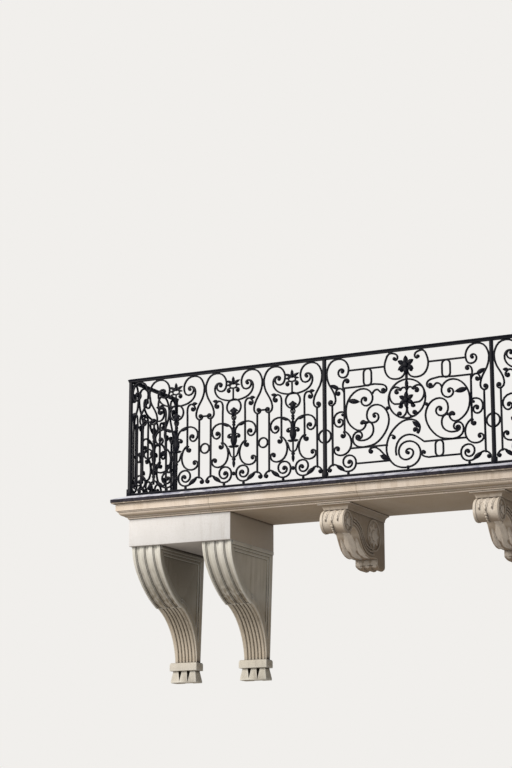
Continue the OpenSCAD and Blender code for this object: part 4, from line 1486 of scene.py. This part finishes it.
@dataclass
class ModillionCarving:
    """Leaves, pearls and flowers on the two small modillions."""

    stone: Material
    at_x: float = 0.645
    half_w: float = 0.098
    cap_z: float = -0.1515
    drum_y: float = -0.760
    drum_z: float = -0.2455
    drum_r: float = 0.090
    # Points of the underside: out from the wall, and down from the cap.
    underside: tuple[Point, ...] = (
        (0.6745, 0.121), (0.612, 0.142), (0.5404, 0.169), (0.5180, 0.198), (0.5008, 0.2254),
        (0.4800, 0.254), (0.454, 0.2785), (0.420, 0.303), (0.380, 0.3172), (0.310, 0.3215),
        (0.250, 0.322),
    )
    foot: tuple[Point, ...] = ((0.160, 0.316), (0.160, 0.344), (0.160, 0.368), (0.130, 0.388))
    # Leaves: x from the middle, where they start or end, and width.
    drum_leaves: tuple[tuple[float, int, float], ...] = (
        (0.0, -22, 0.058), (-0.051, -12, 0.050), (0.051, -12, 0.050),
    )
    drum_rise: float = 0.015
    drum_step: int = -8
    belly_leaves: tuple[tuple[float, int, float, float], ...] = (
        (0.0, 0, 0.096, 0.021), (-0.066, 3, 0.050, 0.014), (0.066, 3, 0.050, 0.014),
    )
    foot_x: Triple = (-0.065, 0.0, 0.065)
    foot_width: float = 0.058
    foot_rise: float = 0.010
    pearl_degrees: range = range(-27, -84, -14)
    pearl_r: float = 0.0115
    pearl_less: float = 0.0006
    pearl_out: float = 0.003
    # Flowers of a flank: y, z down from the cap, radius, heart and petals.
    flank_flowers: tuple[tuple[float, float, float, float, int], ...] = (
        (-0.230, 0.139, 108, 46, 8), (-0.760, 0.094, 70, 31, 6),
    )
    petal_width_share: float = 0.9
    petal_rise_mm: float = 9.0
    petal_sunk_mm: float = 0.5
    heart_half_mm: float = 12.0

    def on_drum(self, degrees: float, out: float = 0.0) -> Vector:
        """Gives a point on the drum.

        Args:
            degrees: Angle over the drum's foremost line.
            out: Distance of the point from the drum's face.

        Returns:
            The point, at x = 0.
        """
        turn = math.radians(degrees)
        radius = self.drum_r + out
        return Vector((
            0, self.drum_y - radius * math.cos(turn), self.drum_z + radius * math.sin(turn)
        ))

    def leaves(self, leaf: Object, middle: float) -> list[Object]:
        """Bends the leaves of the drum, the belly and the foot.

        Args:
            leaf: Master of the leaves.
            middle: Middle of the modillion.

        Returns:
            The bent leaves.
        """
        bent = []
        for x, lowest, width in self.drum_leaves:
            path = [self.on_drum(degrees) for degrees in range(90, lowest, self.drum_step)]
            bent.append(bend(leaf, path, middle + x, width, self.drum_rise))
        belly = [Vector((0, -out, self.cap_z - down)) for out, down in self.underside]
        for x, first, width, rise in self.belly_leaves:
            bent.append(bend(leaf, belly[first:], middle + x, width, rise))
        foot = [Vector((0, -out, self.cap_z - down)) for out, down in self.foot]
        for x in self.foot_x:
            bent.append(bend(leaf, foot, middle + x, self.foot_width, self.foot_rise))
        return bent

    def pearl_row(self, middle: float) -> list[Matrix]:
        """Places the pearls under the drum, each smaller than the last.

        Args:
            middle: Middle of the modillion.

        Returns:
            Their placing matrices.
        """
        places = []
        for i, degrees in enumerate(self.pearl_degrees):
            size = self.pearl_r - self.pearl_less * i
            at = self.on_drum(degrees, self.pearl_out)
            at.x = middle
            turn = Matrix.Rotation(math.radians(-degrees), 4, "X")
            places.append(Matrix.Translation(at) @ turn @ Matrix.Diagonal((size, size, size, 1.0)))
        return places

    def flowers(self, middle: float) -> tuple[list[Matrix], list[Matrix]]:
        """Places the flowers on both flanks.

        Args:
            middle: Middle of the modillion.

        Returns:
            The placing matrices of the petals and of the hearts.
        """
        petals, hearts = [], []
        for end in (-1, 1):
            face = Matrix.Translation((middle, 0, 0)) @ Matrix.Rotation(
                math.radians(90 * end), 4, "Z"
            )
            for y, down, radius, heart, count in self.flank_flowers:
                along, height = end * y / MM, (self.cap_z - down) / MM
                for *ends, width in flower_pattern(along, height, radius, count).leaves:
                    petals.append(leaf_place(
                        face, (*ends, width * self.petal_width_share),
                        self.half_w / MM - self.petal_sunk_mm, self.petal_rise_mm, False,
                    ))
                hearts.append(boss_place(
                    face, (along, height, heart), -self.half_w / MM, self.heart_half_mm
                ))
        return petals, hearts

    def carve(self, side: Side, leaf: Object, pearl: Object) -> None:
        """Carves one modillion.

        Args:
            side: The modillion.
            leaf: Master of the leaves.
            pearl: Master of the pearls and hearts.
        """
        middle = side.value * self.at_x
        bent = self.leaves(leaf, middle)
        petals, hearts = self.flowers(middle)
        still = Matrix.Identity(4)
        piece = scatter(
            f"modillion_carving_{side.name.lower()}",
            [(pearl, self.pearl_row(middle) + hearts), (leaf, petals)]
            + [(obj, [still]) for obj in bent],
        )
        for obj in bent:
            bpy.data.objects.remove(obj, do_unlink=True)
        smooth_by_angle(piece, SMOOTH_DEG)
        dress(piece, self.stone, Slot.CARVED)

    def build(self) -> None:
        """Carves both modillions."""
        leaf = forged_leaf(
            "stone_leaf_master",
            LeafShape(rows=30, columns=10, lobe_depth=0.35, vein_depth=0.55),
        )
        pearl = forged_boss("pearl_master")
        for side in Side:
            self.carve(side, leaf, pearl)
        for master in (leaf, pearl):
            bpy.data.objects.remove(master, do_unlink=True)


@dataclass
class Flashing:
    """The lead sheet on the slab, with the laps between its lengths."""

    sheet: Material
    lap_pitch: float = 0.92
    lap_shift: float = 0.2
    lap_jitter: float = 0.03
    lap_width: float = 0.034
    lap_t: float = 0.0025
    lap_sunk: float = 0.001
    lap_round: float = 0.001
    sharp_deg: float = 30.0
    smooth_deg: float = 40.0
    outer_y: float = -0.9272
    inner_y: float = -0.8360
    fall: float = 0.0358

    def lap(self, name: str, x: float) -> None:
        """Models one lap on the sloping edge in front of the railing.

        Args:
            name: Name of the piece.
            x: Its middle.
        """
        select_nothing()
        bpy.ops.mesh.primitive_cube_add(size=1.0)
        piece = made_with_ops(name)
        for vertex in piece.data.vertices:
            outer = vertex.co.y < 0
            y = self.outer_y if outer else self.inner_y
            z = TOP_M - (self.fall if outer else 0.0)
            lift = self.lap_t if vertex.co.z > 0 else -self.lap_sunk
            vertex.co = (x + vertex.co.x * self.lap_width, y, z + lift)
        round_edges(piece, self.lap_round, self.sharp_deg)
        smooth_by_angle(piece, self.smooth_deg)
        dress(piece, self.sheet, Slot.SHEET)

    def build(self) -> None:
        """Dresses the sheet and its laps."""
        piece = copy_of("lead_flashing", "lead_flashing_dressed")
        dress(piece, self.sheet, Slot.SHEET, "lead_flashing")
        for i in range(-2, 3):
            jitter = random.uniform(-self.lap_jitter, self.lap_jitter)
            self.lap(f"lead_lap_{i + 3}", i * self.lap_pitch + self.lap_shift + jitter)


@dataclass
class Studio:
    """Pale floor, soft light, and the camera at the street's viewpoint."""

    camera_at: Triple = (5.534, -14.587, -2.675)
    turned_deg: float = 26.5
    pitch_deg: float = 13.24
    focal_px: float = 1916.0
    frame_px: float = 768.0
    sensor_mm: float = 36.0
    clip_m: float = 200.0
    floor_m: float = 120.0
    floor_below_m: float = 4.3
    sky_strength: float = 0.36

    def camera(self) -> None:
        """Makes the camera."""
        data = bpy.data.cameras.new("street_view")
        data.sensor_width = self.sensor_mm
        data.lens = self.focal_px / self.frame_px * self.sensor_mm
        data.clip_end = self.clip_m
        obj = bpy.data.objects.new("street_view", data)
        obj.location = self.camera_at
        obj.rotation_euler = (
            math.radians(90 + self.pitch_deg),
            0.0,
            math.radians(self.turned_deg),
        )
        bpy.context.scene.collection.objects.link(obj)
        bpy.context.scene.camera = obj

    def floor(self) -> None:
        """Makes the plain floor, far below the balcony."""
        bpy.ops.mesh.primitive_plane_add(size=self.floor_m, location=(0, 0, -self.floor_below_m))
        obj = bpy.context.object
        obj.name = "floor"
        material, tree, shader = new_material("plain_pale_floor")
        fill(tree, shader, {"Base Color": linear("#e9e7e3"), "Roughness": 0.9})
        obj.data.materials.append(material)

    def lamp(
        self, name: str, watts: float, size: float, place: Triple, target: Triple, colour: str
    ) -> None:
        """Makes one soft area lamp.

        Args:
            name: Name of the lamp.
            watts: Its power.
            size: Side of its square, in metres.
            place: Where it hangs.
            target: Where it points.
            colour: Its sRGB hex colour.
        """
        data = bpy.data.lights.new(name, "AREA")
        data.energy = watts
        data.size = size
        data.color = linear(colour)[:3]
        obj = bpy.data.objects.new(name, data)
        obj.location = place
        aim = Vector(target) - Vector(place)
        obj.rotation_euler = aim.to_track_quat("-Z", "Y").to_euler()
        bpy.context.scene.collection.objects.link(obj)

    def world(self) -> None:
        """Makes the soft sky: pale to the camera, dimmer as a light."""
        world = bpy.data.worlds.new("studio")
        world.use_nodes = True
        bpy.context.scene.world = world
        tree = world.node_tree
        seen = add_node(
            tree,
            "Math",
            {
                0: add_node(tree, "LightPath", output="Is Camera Ray"),
                1: add_node(tree, "LightPath", output="Is Transmission Ray"),
            },
            operation="MAXIMUM",
        )
        sky = {0: seen, 6: linear("#dfe4ee"), 7: linear("#f1efec")}
        fill(tree, tree.nodes["Background"], {
            "Color": add_node(tree, "Mix", sky, 2, data_type="RGBA"),
            "Strength": add_node(
                tree, "MapRange", over(seen, (0.0, 1.0), self.sky_strength, 1.0)
            ),
        })

    def build(self) -> None:
        """Builds the studio."""
        self.camera()
        select_nothing()
        self.floor()
        self.world()
        middle = (0.0, -0.4, 0.0)
        self.lamp(
            "key", watts=2100.0, size=6.0, place=(-8.5, -11.0, 7.0), target=middle,
            colour="#fff7ee",
        )
        self.lamp(
            "fill", watts=70.0, size=9.0, place=(9.0, -9.0, 1.5), target=middle, colour="#fff1df"
        )
        bpy.context.scene.view_settings.view_transform = "Standard"


def main() -> None:
    """Builds the studio and dresses every part of the balcony."""
    random.seed(SEED)
    Studio().build()
    finishes = Finishes()
    Stonework(finishes).build()
    ModillionCarving(finishes.modillion).build()
    Flashing(finishes.sheet).build()
    Railing(finishes.iron).build()
    Ornaments(finishes.iron).build()


if __name__ == "__main__":
    main()
